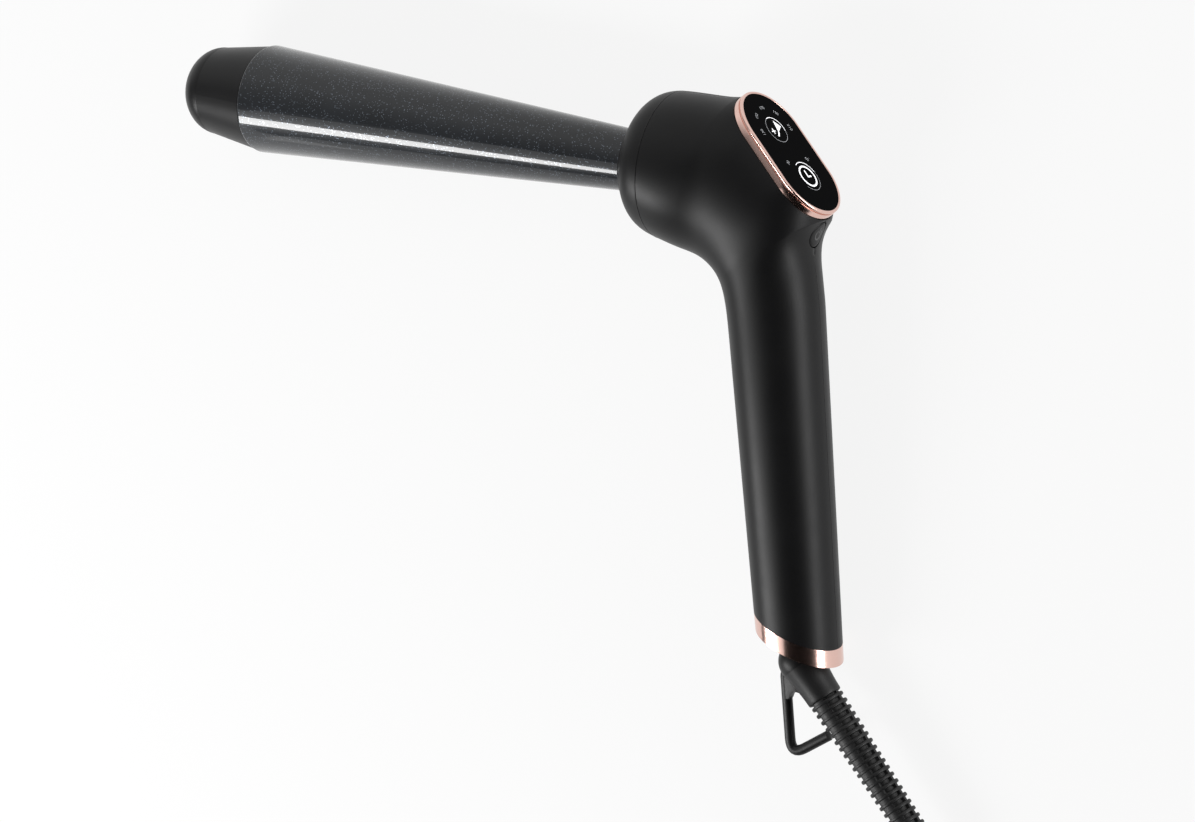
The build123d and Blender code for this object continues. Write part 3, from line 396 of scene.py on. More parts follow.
@dataclass(frozen=True)
class PlainPart:
    """Inner part: moulded, cast or sheet, with grain and a little colour change."""

    name: str
    color: Color
    roughness: float = 0.5
    metallic: float = 0.0
    grain: float = 0.0015

    def make(self) -> bpy.types.Material:
        """Builds the material.

        Returns:
            The material.
        """
        finish = NodeFinish(self.name)
        grain = finish.noise(self.grain, 4.0)
        darker = tuple(channel * 0.86 for channel in self.color)
        finish.feed(Socket.COLOR, finish.mix(grain, darker, self.color))
        finish.feed(Socket.METALLIC, self.metallic)
        finish.feed(Socket.ROUGHNESS, grain * 0.14 + (self.roughness - 0.07))
        finish.bump(grain, 0.00001)
        return finish.material


@dataclass(frozen=True)
class CircuitBoard:
    """Green board with copper tracks under the mask."""

    name: str
    mask: Color = (0.012, 0.090, 0.040)
    track: Color = (0.030, 0.170, 0.070)

    def make(self) -> bpy.types.Material:
        """Builds the material.

        Returns:
            The material.
        """
        finish = NodeFinish(self.name)
        distance, _ = finish.cells(0.004)
        tracks = distance.step(0.42, 0.46)
        finish.feed(Socket.COLOR, finish.mix(tracks, self.mask, self.track))
        finish.feed(Socket.ROUGHNESS, 0.42 - tracks * 0.1)
        finish.bump(tracks, 0.00002)
        return finish.material


class Palette:
    """All finishes of the tool, made once."""

    def __init__(self) -> None:
        """Makes every material by its slot's name."""
        self.soft = SoftTouch("soft_black").make()
        self.tip = SoftTouch("tip_black", (0.0050, 0.0050, 0.0054), 0.38).make()
        self.ceramic = SpeckledCeramic("barrel_ceramic").make()
        self.rose = PolishedMetal("rose_gold", (0.74, 0.50, 0.44)).make()
        self.glass = BlackGlass("panel_glass").make()
        self.rubber = Rubber("cord_rubber").make()
        self.print = LitPrint("panel_light").make()
        self.faint = LitPrint("panel_light_faint", (0.42, 0.43, 0.45), 0.16).make()
        self.dull = LitPrint("button_sign", (0.060, 0.060, 0.062), 0.0).make()
        self.chrome = PolishedMetal("plug_chrome", (0.78, 0.78, 0.80), 0.14).make()
        self.inner = {
            "board_green": CircuitBoard("board_green").make(),
            "inner_plastic": PlainPart("inner_plastic", (0.58, 0.58, 0.55), 0.5).make(),
            "component_black": PlainPart("component_black", (0.035, 0.035, 0.037), 0.45).make(),
            "component_white": PlainPart("component_white", (0.74, 0.74, 0.72), 0.4).make(),
            "heater_ceramic": PlainPart("heater_ceramic", (0.78, 0.76, 0.71), 0.6).make(),
            "clamp_aluminium": PlainPart("clamp_aluminium", (0.72, 0.73, 0.75), 0.35, 1.0, 0.0008).make(),
            "steel": PlainPart("steel", (0.56, 0.56, 0.57), 0.3, 1.0, 0.0006).make(),
            "brass": PlainPart("brass", (0.72, 0.53, 0.23), 0.28, 1.0, 0.0006).make(),
            "mica": PlainPart("mica", (0.60, 0.53, 0.40), 0.4, 0.0, 0.003).make(),
            "lead_sleeve": PlainPart("lead_sleeve", (0.72, 0.72, 0.68), 0.7, 0.0, 0.0006).make(),
        }

    def by_slot(self) -> dict[str, bpy.types.Material]:
        """Pairs the record's slots with their materials.

        Returns:
            Slot name to material.
        """
        outer = {
            "soft_black": self.soft,
            "tip_black": self.tip,
            "barrel_ceramic": self.ceramic,
            "rose_gold": self.rose,
            "panel_glass": self.glass,
            "cord_rubber": self.rubber,
            "plug_chrome": self.chrome,
        }
        return outer | self.inner

    def dress_nodes(self) -> None:
        """Gives every carried-over node the material of its slot."""
        materials = self.by_slot()
        for entry in FRAME["record"]["subparts"]:
            node, name = FRAME["nodes"][entry["node"]], entry["material_slot"]
            for slot in node.material_slots:
                slot.material = materials[name]
            if not node.material_slots:
                node.data.materials.append(materials[name])
            LOG.info("%s: dressed in %s", entry["node"], name)


@dataclass
class ToolPlane:
    """The plane of barrel and handle, found from the joints: x away from the barrel, y up the handle."""

    knuckle_down: float = 159.5
    x: Vector = field(init=False)
    y: Vector = field(init=False)
    z: Vector = field(init=False)
    origin: Vector = field(init=False)

    def __post_init__(self) -> None:
        """Reads the two joints."""
        joints = {joint["name"]: joint for joint in FRAME["joints"]}
        swivel = joints["cord_swivel_turn"]
        self.x = -Vector(joints["button_press"]["axis"]).normalized()
        self.y = -Vector(swivel["axis"]).normalized()
        self.z = self.x.cross(self.y)
        self.origin = Vector(swivel["pos_m"]) + self.y * self.knuckle_down * MM

    def way(self, x: float, y: float, z: float = 0.0) -> Vector:
        """Direction in the row frame of a direction in the plane."""
        return self.x * x + self.y * y + self.z * z

    def at(self, x: float, y: float, z: float = 0.0) -> Vector:
        """Point in the row frame of a point in the plane, in millimetres."""
        return self.origin + self.way(x, y, z) * MM

    def heading(self, degrees: float) -> Vector:
        """Direction in the plane at an angle from x."""
        angle = math.radians(degrees)
        return self.way(math.cos(angle), math.sin(angle))


@dataclass
class Viewpoint:
    """Camera, set against the tool's own plane."""

    plane: ToolPlane
    place: tuple[float, float, float] = (535.763, 83.707, 933.454)
    back: tuple[float, float, float] = (0.54062504, 0.14190364, 0.82920922)
    roll: float = -4.51
    lens: float = 99.4
    sensor: float = 36.0
    clip: tuple[float, float] = (0.05, 20.0)

    def build(self) -> None:
        """Makes the camera and hands it to the scene."""
        back = Vector(self.back).normalized()
        right = Vector((0, 1, 0)).cross(back).normalized()
        up = back.cross(right)
        turn = math.radians(self.roll)
        rolled = right * math.cos(turn) + up * math.sin(turn)
        raised = up * math.cos(turn) - right * math.sin(turn)
        axes = [self.plane.way(*axis) for axis in (rolled, raised, back)]
        data = bpy.data.cameras.new("camera")
        data.lens, data.sensor_width = self.lens, self.sensor
        data.clip_start, data.clip_end = self.clip
        camera = put("camera", data)
        spot = Matrix.Translation(self.plane.at(*self.place))
        camera.matrix_world = spot @ Matrix(axes).transposed().to_4x4()
        bpy.context.scene.camera = camera
        away = (camera.location - self.plane.origin).length / MM
        LOG.info("camera %d mm from the barrel's root", round(away))


def put(name: str, data: bpy.types.ID) -> bpy.types.Object:
    """Makes an object at the origin and shows it in the scene.

    Args:
        name: Object name.
        data: Its mesh, curve, lamp or camera.

    Returns:
        The object.
    """
    item = bpy.data.objects.new(name, data)
    bpy.context.scene.collection.objects.link(item)
    return item


def evaluated_mesh(holder: bpy.types.Object) -> bpy.types.Mesh:
    """Plain mesh of an object in the scene, with its curve or modifiers carried out."""
    bpy.context.view_layer.update()
    return bpy.data.meshes.new_from_object(holder.evaluated_get(bpy.context.evaluated_depsgraph_get()))


def mesh_from(work: bmesh.types.BMesh, name: str, recalculate: bool = True) -> bpy.types.Mesh:
    """Turns faces under construction into a mesh.

    Args:
        work: The faces, freed here.
        name: Mesh name.
        recalculate: Whether the faces are turned outwards first.

    Returns:
        The mesh.
    """
    if recalculate:
        bmesh.ops.recalc_face_normals(work, faces=work.faces)
    mesh = bpy.data.meshes.new(name)
    work.to_mesh(mesh)
    work.free()
    return mesh


def band(work: bmesh.types.BMesh, here: list[bmesh.types.BMVert], there: list[bmesh.types.BMVert]) -> None:
    """Joins two loops of equally many points by four sided faces.

    Args:
        work: The faces under construction.
        here: First loop.
        there: Second loop.
    """
    count = len(here)
    for k in range(count):
        work.faces.new((here[k], here[(k + 1) % count], there[(k + 1) % count], there[k]))


def link(name: str, mesh: bpy.types.Mesh, material: bpy.types.Material, body: str) -> bpy.types.Object:
    """Makes an object at the origin, dresses it and lets it ride.

    Args:
        name: Piece name.
        mesh: Its mesh, in place.
        material: Its finish.
        body: Body that it moves with.

    Returns:
        The object.
    """
    mesh.materials.clear()
    mesh.materials.append(material)
    piece = put(name, mesh)
    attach(piece, body)
    LOG.info("%s: %d faces on %s", name, len(mesh.polygons), body)
    return piece


def smooth(mesh: bpy.types.Mesh, sharp: float = 35.0) -> bpy.types.Mesh:
    """Shades a mesh smooth, apart from its sharp edges.

    Args:
        mesh: The mesh.
        sharp: Angle in degrees above which an edge stays sharp.

    Returns:
        The same mesh.
    """
    for polygon in mesh.polygons:
        polygon.use_smooth = True
    mesh.set_sharp_from_angle(angle=math.radians(sharp))
    return mesh


def curve_points(points: Sequence[Vector]) -> list[Vector]:
    """Follows the smooth curve that a route makes.

    Args:
        points: Its control points.

    Returns:
        Points along the curve.
    """
    curve = bpy.data.curves.new("route", "CURVE")
    curve.dimensions = "3D"
    curve.resolution_u = 12
    spline = curve.splines.new("NURBS")
    spline.points.add(len(points) - 1)
    for knot, point in zip(spline.points, points):
        knot.co = (*point, 1.0)
    spline.order_u = 3
    spline.use_endpoint_u = True
    holder = put("route", curve)
    line = evaluated_mesh(holder)
    path = [vertex.co.copy() for vertex in line.vertices]
    bpy.data.objects.remove(holder)
    bpy.data.meshes.remove(line)
    bpy.data.curves.remove(curve)
    return path


def closed_mesh(
    name: str, rows: Sequence[Sequence[Vector]], around: bool, sharp: float
) -> bpy.types.Mesh:
    """Surface through rows of points, every row a closed loop.

    Args:
        name: Mesh name.
        rows: Loops of equally many points.
        around: Whether the last loop joins the first; if not, both are filled.
        sharp: Angle in degrees above which an edge stays sharp.

    Returns:
        The mesh, with its faces outwards.
    """
    work = bmesh.new()
    loops = [[work.verts.new(point) for point in row] for row in rows]
    for here, there in zip(loops, loops[1:] + (loops[:1] if around else [])):
        band(work, here, there)
    if not around:
        work.faces.new(loops[0])
        work.faces.new(loops[-1])
    return smooth(mesh_from(work, name), sharp)


def tube_mesh(name: str, path: Sequence[Vector], radius: float, sides: int = 16) -> bpy.types.Mesh:
    """Closed round tube along a path, without twist.

    Args:
        name: Mesh name.
        path: Points that it follows.
        radius: Its radius.
        sides: Faces round it.

    Returns:
        The mesh.
    """
    runs = [(b - a).normalized() for a, b in zip(path, path[1:])]
    tangents = [runs[0], *((a + b).normalized() for a, b in zip(runs, runs[1:])), runs[-1]]
    side = tangents[0].orthogonal().normalized()
    work = bmesh.new()
    rings = []
    for point, along in zip(path, tangents):
        side = (side - along * side.dot(along)).normalized()
        other = along.cross(side)
        ring = []
        for k in range(sides):
            angle = 2 * math.pi * k / sides
            spoke = (side * math.cos(angle) + other * math.sin(angle)) * radius
            ring.append(work.verts.new(point + spoke))
        rings.append(ring)
    for low, high in zip(rings, rings[1:]):
        band(work, low, high)
    work.faces.new(rings[0][::-1])
    work.faces.new(rings[-1])
    return smooth(mesh_from(work, name, False))


class RepeatTree(TreeWriter):
    """Geometry Nodes tree that repeats a shape, with named inputs for its sizes."""

    def __init__(self, name: str, sizes: dict[str, float | int]) -> None:
        """Opens the tree.

        Args:
            name: Name of the tree and of its result.
            sizes: Input name to its value.
        """
        self.tree = bpy.data.node_groups.new(name, "GeometryNodeTree")
        self.sizes = sizes
        self.tree.interface.new_socket("Geometry", in_out="INPUT", socket_type="NodeSocketGeometry")
        for label, value in sizes.items():
            kind = "NodeSocketInt" if isinstance(value, int) else "NodeSocketFloat"
            self.tree.interface.new_socket(label, in_out="INPUT", socket_type=kind)
        self.tree.interface.new_socket("Geometry", in_out="OUTPUT", socket_type="NodeSocketGeometry")
        self.enter = self.tree.nodes.new("NodeGroupInput")

    def size(self, label: str) -> Signal:
        """Value of a named input."""
        return Signal(self, self.enter.outputs[label])

    def vector(self, *parts: "Signal | float") -> Signal:
        """Vector from its three parts."""
        return self.add("ShaderNodeCombineXYZ", {}, dict(enumerate(parts)))

    def mesh(self, shape: Signal, material: bpy.types.Material) -> bpy.types.Mesh:
        """Ends the tree with the finish and turns its result into a plain mesh.

        Args:
            shape: Geometry to keep.
            material: Its finish.

        Returns:
            The mesh, in the tree's own place.
        """
        whole = self.add("GeometryNodeRealizeInstances", {}, {"Geometry": shape})
        dressed = self.add("GeometryNodeSetMaterial", {}, {"Geometry": whole, "Material": material})
        leave = self.tree.nodes.new("NodeGroupOutput")
        self.tree.links.new(dressed.link, leave.inputs[0])
        blank = put(self.tree.name, bpy.data.meshes.new(self.tree.name))
        modifier = blank.modifiers.new("repeat", "NODES")
        modifier.node_group = self.tree
        for item in self.tree.interface.items_tree:
            if item.in_out == "INPUT" and item.name in self.sizes:
                modifier[item.identifier] = self.sizes[item.name]
        result = evaluated_mesh(blank)
        blank.modifiers.remove(modifier)
        bpy.data.objects.remove(blank)
        return result


@dataclass(frozen=True)
class Section:
    """Ellipse across the body, from its end on the inside of the elbow to where it stops.

    It stops at its far end, or where the panel's seat cuts it at a half width.
    """

    inner: Vector
    stop: Vector
    depth: float
    half_width: float = 0.0

    def axes(self) -> tuple[Vector, Vector, float, float]:
        """Finds the ellipse that the section is a part of.

        Returns:
            Centre, direction, half length and the angle at which the ellipse stops.
        """
        run = self.stop - self.inner
        flatness = math.sqrt(max(0.0, 1 - (self.half_width / self.depth) ** 2))
        half = run.length / (1 + flatness)
        ray = run.normalized()
        return self.inner + ray * half, ray, half, math.acos(min(1.0, flatness))


@dataclass
class Body:
    """Outer form of head, elbow and handle as one flowing row of ellipses, in millimetres.

    Attributes:
        nose_middle: Radius and distance along the barrel of a point on the nose's arc.
        nose_blend: How far in front of the seam, and under the head's radius, that arc ends.
        fan_steps: Sections before the panel's seat, under it and down its back.
        tilt_start: Share of the handle above which its sections stay square.
        window: How many spreads an average reaches.
        pinned: Points nearer than this to an end or to the seat stay in place.
        elbow: Centre of the elbow's fan.
    """

    rise: float = 10.0
    head_r: float = 24.8
    head_lift: float = 0.9
    seam: float = 35.6
    front: float = 46.0
    nose_r: float = 18.3
    nose_middle: tuple[float, float] = (22.4, 42.67)
    centre_down: float = 38.5
    inner_r: float = 17.5
    swell: float = 0.2
    fullness: float = 1.7
    back_flare: float = 4.3
    root_r: float = 16.3
    foot_r: float = 14.4
    length: float = 147.7
    slant: float = 26.0
    facing: float = 34.2
    seat_out: float = 10.265
    seat_up: float = 2.790
    seat_half: tuple[float, float] = (24.7, 15.4)
    nose_blend: tuple[float, float] = (1.6, 0.1)
    nose_steps: int = 14
    neck_steps: int = 14
    fan_steps: tuple[int, int, int] = (24, 96, 60)
    handle_steps: int = 70
    tilt_start: float = 0.4
    softness: float = 3.2
    flank_softness: float = 9.0
    window: float = 2.6
    pinned: float = 0.1
    elbow: Vector = field(init=False)

    def __post_init__(self) -> None:
        """Finds the elbow's centre."""
        self.elbow = Vector((-self.handle_radius(self.centre_down) - self.inner_r, -self.centre_down))

    @staticmethod
    def way(angle: float) -> Vector:
        """Direction at an angle in degrees from x."""
        return Vector((math.cos(math.radians(angle)), math.sin(math.radians(angle))))

    def handle_radius(self, down: float) -> float:
        """Outer radius of the handle."""
        share = (down - self.centre_down) / (self.length - self.centre_down)
        return self.root_r + (self.foot_r - self.root_r) * share

    def seat_point(self, along: float) -> Vector:
        """Point on the panel's seat, at a place along it."""
        return self.way(self.facing) * self.seat_out + self.way(self.facing + 90) * (self.seat_up + along)

    def seat_crossing(self, angle: float) -> tuple[float, float]:
        """Follows a ray from the elbow's centre to the plane of the seat.

        Args:
            angle: Its angle in degrees from x.

        Returns:
            Distance out, and place along the seat.
        """
        normal, ray = self.way(self.facing), self.way(angle)
        reach = (self.seat_point(0) - self.elbow).dot(normal) / ray.dot(normal)
        point = self.elbow + ray * reach
        return reach, (point - self.seat_point(0)).dot(self.way(self.facing + 90))

    def seat_half_width(self, along: float) -> float:
        """Half width of the oval seat.

        Args:
            along: Place along the seat.

        Returns:
            The half width, 0 past the seat's ends.
        """
        half_length, half_width = self.seat_half
        past = max(0.0, abs(along) - (half_length - half_width))
        return math.sqrt(max(0.0, half_width**2 - past**2))

    def end_angle(self, side: int) -> float:
        """Angle of the ray to the seat's upper or lower end."""
        run = self.seat_point(side * self.seat_half[0]) - self.elbow
        return math.degrees(math.atan2(run.y, run.x))

    def fan_depth(self, angle: float) -> float:
        """Half depth of the elbow at an angle."""
        share = max(angle, 0.0) / (90 - self.rise)
        return self.root_r + (self.head_r - self.root_r) * share**self.fullness

    def round_head(self, s: float, radius: float) -> Section:
        """Circle across the head.

        Args:
            s: Distance along the barrel.
            radius: Its radius.

        Returns:
            The section.
        """
        square = self.way(90 - self.rise)
        middle = self.way(180 - self.rise) * s + square * self.head_lift
        return Section(middle - square * radius, middle + square * radius, radius)

    def nose(self) -> list[Section]:
        """Circles over the rounded nose, from the front back to the seam.

        Returns:
            The sections in order.
        """
        back, drop = self.nose_blend
        (x1, y1), (y2, x2), (x3, y3) = (
            (self.seam + back, self.head_r - drop), self.nose_middle, (self.front, self.nose_r),
        )
        turn = 2 * (x1 * (y2 - y3) + x2 * (y3 - y1) + x3 * (y1 - y2))
        a, b, c = (x * x + y * y for x, y in ((x1, y1), (x2, y2), (x3, y3)))
        centre_x = (a * (y2 - y3) + b * (y3 - y1) + c * (y1 - y2)) / turn
        centre = Vector((centre_x, (a * (x3 - x2) + b * (x1 - x3) + c * (x2 - x1)) / turn))
        start = math.atan2(y3 - centre.y, x3 - centre.x)
        end = math.atan2(y1 - centre.y, x1 - centre.x)
        radius = math.hypot(x1 - centre.x, y1 - centre.y)
        rings = []
        for k in range(self.nose_steps + 1):
            angle = start + (end - start) * k / self.nose_steps
            out, up = radius * math.cos(angle), radius * math.sin(angle)
            rings.append(self.round_head(centre.x + out, centre.y + up))
        for share in (1 - 1 / 3, 1 - 2 / 3):
            rings.append(self.round_head(self.seam + back * share, self.head_r - drop * share))
        return rings

    def neck(self) -> list[Section]:
        """Sections from the seam to where the elbow's fan begins.

        Returns:
            The sections in order.
        """
        seam = self.round_head(self.seam, self.head_r)
        ray = self.way(90 - self.rise)
        level = self.head_r + self.head_lift + self.swell - self.elbow.dot(ray)
        inner, stop = self.elbow + ray * self.inner_r, self.elbow + ray * level
        shares = [k / self.neck_steps for k in range(self.neck_steps)]
        return [
            Section(seam.inner.lerp(inner, share), seam.stop.lerp(stop, share), self.head_r) for share in shares
        ]

    def fan(self) -> list[Section]:
        """Sections fanned out round the elbow, under the panel's seat and down its back.

        Returns:
            The sections in order.
        """
        square, upper, lower = 90 - self.rise, self.end_angle(1), self.end_angle(-1)
        level = self.head_r + self.head_lift + self.swell - self.elbow.dot(self.way(square))
        flare = self.seat_crossing(upper)[0] - level / math.cos(math.radians(square - upper))
        to_seat, under_seat, down_back = self.fan_steps
        rays: list[tuple[float, float, float]] = []
        for k in range(to_seat):
            share = k / to_seat
            angle = square + (upper - square) * share
            rays.append((angle, level / math.cos(math.radians(square - angle)) + flare * share**4, 0.0))
        for k in range(under_seat + 1):
            angle = upper + (lower - upper) * (1 - math.cos(math.pi * k / under_seat)) / 2
            reach, along = self.seat_crossing(angle)
            rays.append((angle, reach, self.seat_half_width(along)))
        back = self.inner_r + 2 * self.handle_radius(self.centre_down)
        edge = self.seat_crossing(lower)[0]
        for k in range(1, down_back):
            share = 1 - k / down_back
            rays.append((lower + self.back_flare * math.log(share), back + (edge - back) * share, 0.0))
        sections = []
        for angle, reach, half in [ray for ray in rays if ray[0] > 0] + [(0.0, back, 0.0)]:
            inner = self.elbow + self.way(angle) * self.inner_r
            stop = self.elbow + self.way(angle) * reach
            sections.append(Section(inner, stop, self.fan_depth(angle), half))
        return sections

    def handle(self) -> list[Section]:
        """Sections down the handle, tilted more and more to the slanted foot.

        Returns:
            The sections in order.
        """
        sections = []
        for k in range(1, self.handle_steps + 1):
            share = k / self.handle_steps
            down = self.centre_down + (self.length - self.centre_down) * k / self.handle_steps
            tilt = max(0.0, (share - self.tilt_start) / (1 - self.tilt_start)) ** 2
            over = math.tan(math.radians(self.slant)) * self.handle_radius(down) * tilt
            inner = Vector((-self.handle_radius(down - over), over - down))
            outer = Vector((self.handle_radius(down + over), -(down + over)))
            sections.append(Section(inner, outer, self.handle_radius(down)))
        return sections

    def sections(self) -> tuple[list[Section], int]:
        """All sections from the nose to the foot, and which of them is the seam's."""
        nose = self.nose()
        return nose + self.neck() + self.fan() + self.handle(), len(nose)

    def rim_distance(self, point: Vector) -> float:
        """How far a point lies from the edge of the panel's seat.

        Args:
            point: Point in the tool's plane.

        Returns:
            The distance.
        """
        out, up = point.xy.dot(self.way(self.facing)), point.xy.dot(self.way(self.facing + 90))
        half_length, half_width = self.seat_half
        past = max(0.0, abs(up - self.seat_up) - (half_length - half_width))
        return math.hypot(math.hypot(past, point.z) - half_width, out - self.seat_out)

    def grid(self, sections: list[Section], steps: int) -> list[list[Vector]]:
        """Rows of points round the near half of every section, with the kinks rounded off.

        Args:
            sections: The sections in order.
            steps: Faces round the half.

        Returns:
            One row of points for each section.
        """
        raw = []
        for section in sections:
            centre, ray, half, stop = section.axes()
            row = []
            for k in range(steps + 1):
                angle = math.pi + (stop - math.pi) * k / steps
                flat = centre + ray * half * math.cos(angle)
                row.append(Vector((flat.x, flat.y, section.depth * math.sin(angle))))
            raw.append(row)
        columns = []
        for k in range(steps + 1):
            softness = self.softness + self.flank_softness * math.sin(math.pi * k / steps) ** 2
            columns.append(self.softened([row[k] for row in raw], softness))
        return [[column[i] for column in columns] for i in range(len(raw))]

    def softened(self, line: list[Vector], softness: float) -> list[Vector]:
        """Averages each point of a line over its neighbours, less and less toward the seat.

        Args:
            line: Points down the body, one on each section.
            softness: Spread of the average, far from the ends and the seat.

        Returns:
            The averaged points.
        """
        place = [0.0]
        for here, there in zip(line, line[1:]):
            place.append(place[-1] + (there - here).length)
        last = len(line) - 1
        result = []
        for index, point in enumerate(line):
            rooms = (place[index], place[-1] - place[index], self.rim_distance(point))
            if min(rooms) < self.pinned:
                result.append(point)
                continue
            limits = sum((self.window / room) ** 2 for room in rooms)
            spread = 1 / math.sqrt(1 / softness**2 + limits)
            total, weights = Vector((0, 0, 0)), 0.0
            for way in (-1, 1):
                k = index if way > 0 else index - 1
                while 0 <= k <= last and abs(place[k] - place[index]) < self.window * spread:
                    width = place[min(k + 1, last)] - place[max(k - 1, 0)]
                    weight = math.exp(-(((place[k] - place[index]) / spread) ** 2) / 2) * width
                    total += line[k] * weight
                    weights += weight
                    k += way
            result.append(total / weights)
        return result


@dataclass
class Housing:
    """Two moulded shells and the front ring, in the body's flowing form.

    Attributes:
        part_line: Depth of the groove where the shells meet.
        groove_share: Its width, as a share of a face.
        steps: Faces round each half.
        sleeve_r: Bore of the ring for the collar's sleeve.
        spigot: Length, outer and inner radius of the ring's tongue in the shells.
        seam_groove: Depth of the seam's groove, and the share of the radius where it ends.
        drill_half: Half length of the drill that cuts the button's hole.
    """

    plane: ToolPlane
    palette: Palette
    body: Body = field(default_factory=Body)
    wall: float = 2.2
    part_line: float = 0.14
    groove_share: float = 0.12
    steps: int = 40
    sharp: float = 40.0
    sleeve_r: float = 13.1
    spigot: tuple[float, float, float] = (5.0, 22.5, 21.9)
    nose_lip: float = 0.4
    seam_groove: tuple[float, float] = (0.25, 0.989)
    button_down: float = 17.2
    button_hole: float = 4.25
    drill_half: float = 8.0
    drill_sides: int = 64

    def outside(self, row: list[Vector], section: Section, side: int) -> list[Vector]:
        """One half's outer points, with a fine groove where both halves meet.

        Args:
            row: Smooth points of the near half.
            section: The section that the row is on.
            side: 1 for the near half, -1 for the far half.

        Returns:
            The points, two more than in the row.
        """
        ray = (section.stop - section.inner).normalized().to_3d()
        first, last = row[0] + ray * self.part_line, row[-1]
        if section.half_width == 0:
            last = row[-1] - ray * self.part_line
        lips = (row[0].lerp(row[1], self.groove_share), row[-1].lerp(row[-2], self.groove_share))
        points = [first, lips[0], *row[1:-1], lips[1], last]
        return [self.plane.at(point.x, point.y, side * point.z) for point in points]

    def inside(self, section: Section, side: int) -> list[Vector]:
        """One half's inner points, the wall's thickness in.

        Args:
            section: The section that the points are on.
            side: 1 for the near half, -1 for the far half.

        Returns:
            The points, from the inside of the elbow on.
        """
        centre, ray, half, stop = section.axes()
        reach = half - self.wall
        stop = math.acos(min(1.0, half * math.cos(stop) / reach))
        points = []
        for k in range(self.steps + 1):
            angle = math.pi + (stop - math.pi) * k / self.steps
            flat = centre + ray * reach * math.cos(angle)
            points.append(self.plane.at(flat.x, flat.y, side * (section.depth - self.wall) * math.sin(angle)))
        return points

    def shell_mesh(
        self, name: str, side: int, rows: list[list[Vector]], sections: list[Section]
    ) -> bpy.types.Mesh:
        """Closed hollow half of head and handle.

        Args:
            name: Mesh name.
            side: 1 for the near half, -1 for the far half.
            rows: Smooth points of the near half, one row on each section.
            sections: The sections in order.

        Returns:
            The mesh.
        """
        work = bmesh.new()
        loops = []
        for row, section in zip(rows, sections):
            loop = self.outside(row, section, side) + self.inside(section, side)[::-1]
            loops.append([work.verts.new(point) for point in loop])
        for here, there in zip(loops, loops[1:]):
            band(work, here, there)
        last = self.steps + 2
        for loop in (loops[0], loops[-1]):
            outer = [loop[0], *loop[2 : last - 1], loop[last]]
            inner = loop[last + 1 :][::-1]
            for k in range(self.steps):
                rim = {0: [loop[1]], self.steps - 1: [loop[last - 1]]}.get(k, [])
                work.faces.new([outer[k], *rim, outer[k + 1], inner[k + 1], inner[k]])
        return mesh_from(work, name)

    def drilled(self, mesh: bpy.types.Mesh) -> bpy.types.Mesh:
        """Cuts the round hole of the power button.

        Args:
            mesh: Closed half of the housing.

        Returns:
            The half with its share of the hole.
        """
        out = self.body.handle_radius(self.button_down)
        path = [self.plane.at(out + reach, -self.button_down) for reach in (-self.drill_half, self.drill_half)]
        cutter = put("drill", tube_mesh("drill", path, self.button_hole * MM, self.drill_sides))
        piece = put("blank", mesh)
        cut = piece.modifiers.new("hole", "BOOLEAN")
        cut.operation, cut.solver, cut.object = "DIFFERENCE", "EXACT", cutter
        result = evaluated_mesh(piece)
        for item in (cutter, piece):
            bpy.data.objects.remove(item)
        return result

    def circle(self, s: float, radius: float, lift: float) -> list[Vector]:
        """Half circle across the barrel's axis, as a row of the body's grid.

        Args:
            s: Distance along the barrel.
            radius: Its radius.
            lift: How far its middle lies over the barrel's axis.

        Returns:
            The row's points.
        """
        square = self.body.way(90 - self.body.rise)
        middle = self.body.way(180 - self.body.rise) * s + square * lift
        row = []
        for k in range(self.steps + 1):
            angle = math.pi * (1 - k / self.steps)
            flat = middle + square * radius * math.cos(angle)
            row.append(Vector((flat.x, flat.y, radius * math.sin(angle))))
        return row

    def ring_mesh(self, name: str, rows: list[list[Vector]]) -> bpy.types.Mesh:
        """Closed front ring: nose, bore for the collar's sleeve and spigot in the shells.

        Args:
            name: Mesh name.
            rows: Smooth points of the nose's near half.

        Returns:
            The mesh.
        """
        body = self.body
        length, wide, narrow = self.spigot
        rear = body.seam - length
        barrel = body.way(180 - body.rise).to_3d()
        seam_middle = (rows[-1][0] + rows[-1][-1]) / 2
        depth, share = self.seam_groove
        edge = [point + barrel * depth for point in rows[-1]]
        face = [seam_middle.lerp(point, share) for point in rows[-1]]
        loops = [self.circle(rear, self.sleeve_r, 0), self.circle(body.front, self.sleeve_r, 0)]
        loops += [self.circle(body.front, body.nose_r - self.nose_lip, body.head_lift), *rows[:-1], edge, face]
        loops += [self.circle(body.seam, wide, body.head_lift), self.circle(rear, narrow, body.head_lift)]
        rings = []
        for row in loops:
            far = [Vector((point.x, point.y, -point.z)) for point in row[-2:0:-1]]
            rings.append([self.plane.at(*point) for point in row + far])
        return closed_mesh(name, rings, True, self.sharp)

    def back_line(self, grid: list[list[Vector]], seam: int) -> list[tuple[float, float]]:
        """Height and reach of the body's back, where both halves meet below the panel."""
        return [(row[-1].y, row[-1].x) for row in grid[seam:] if abs(row[-1].z) < 0.01 and row[-1].y < 0]

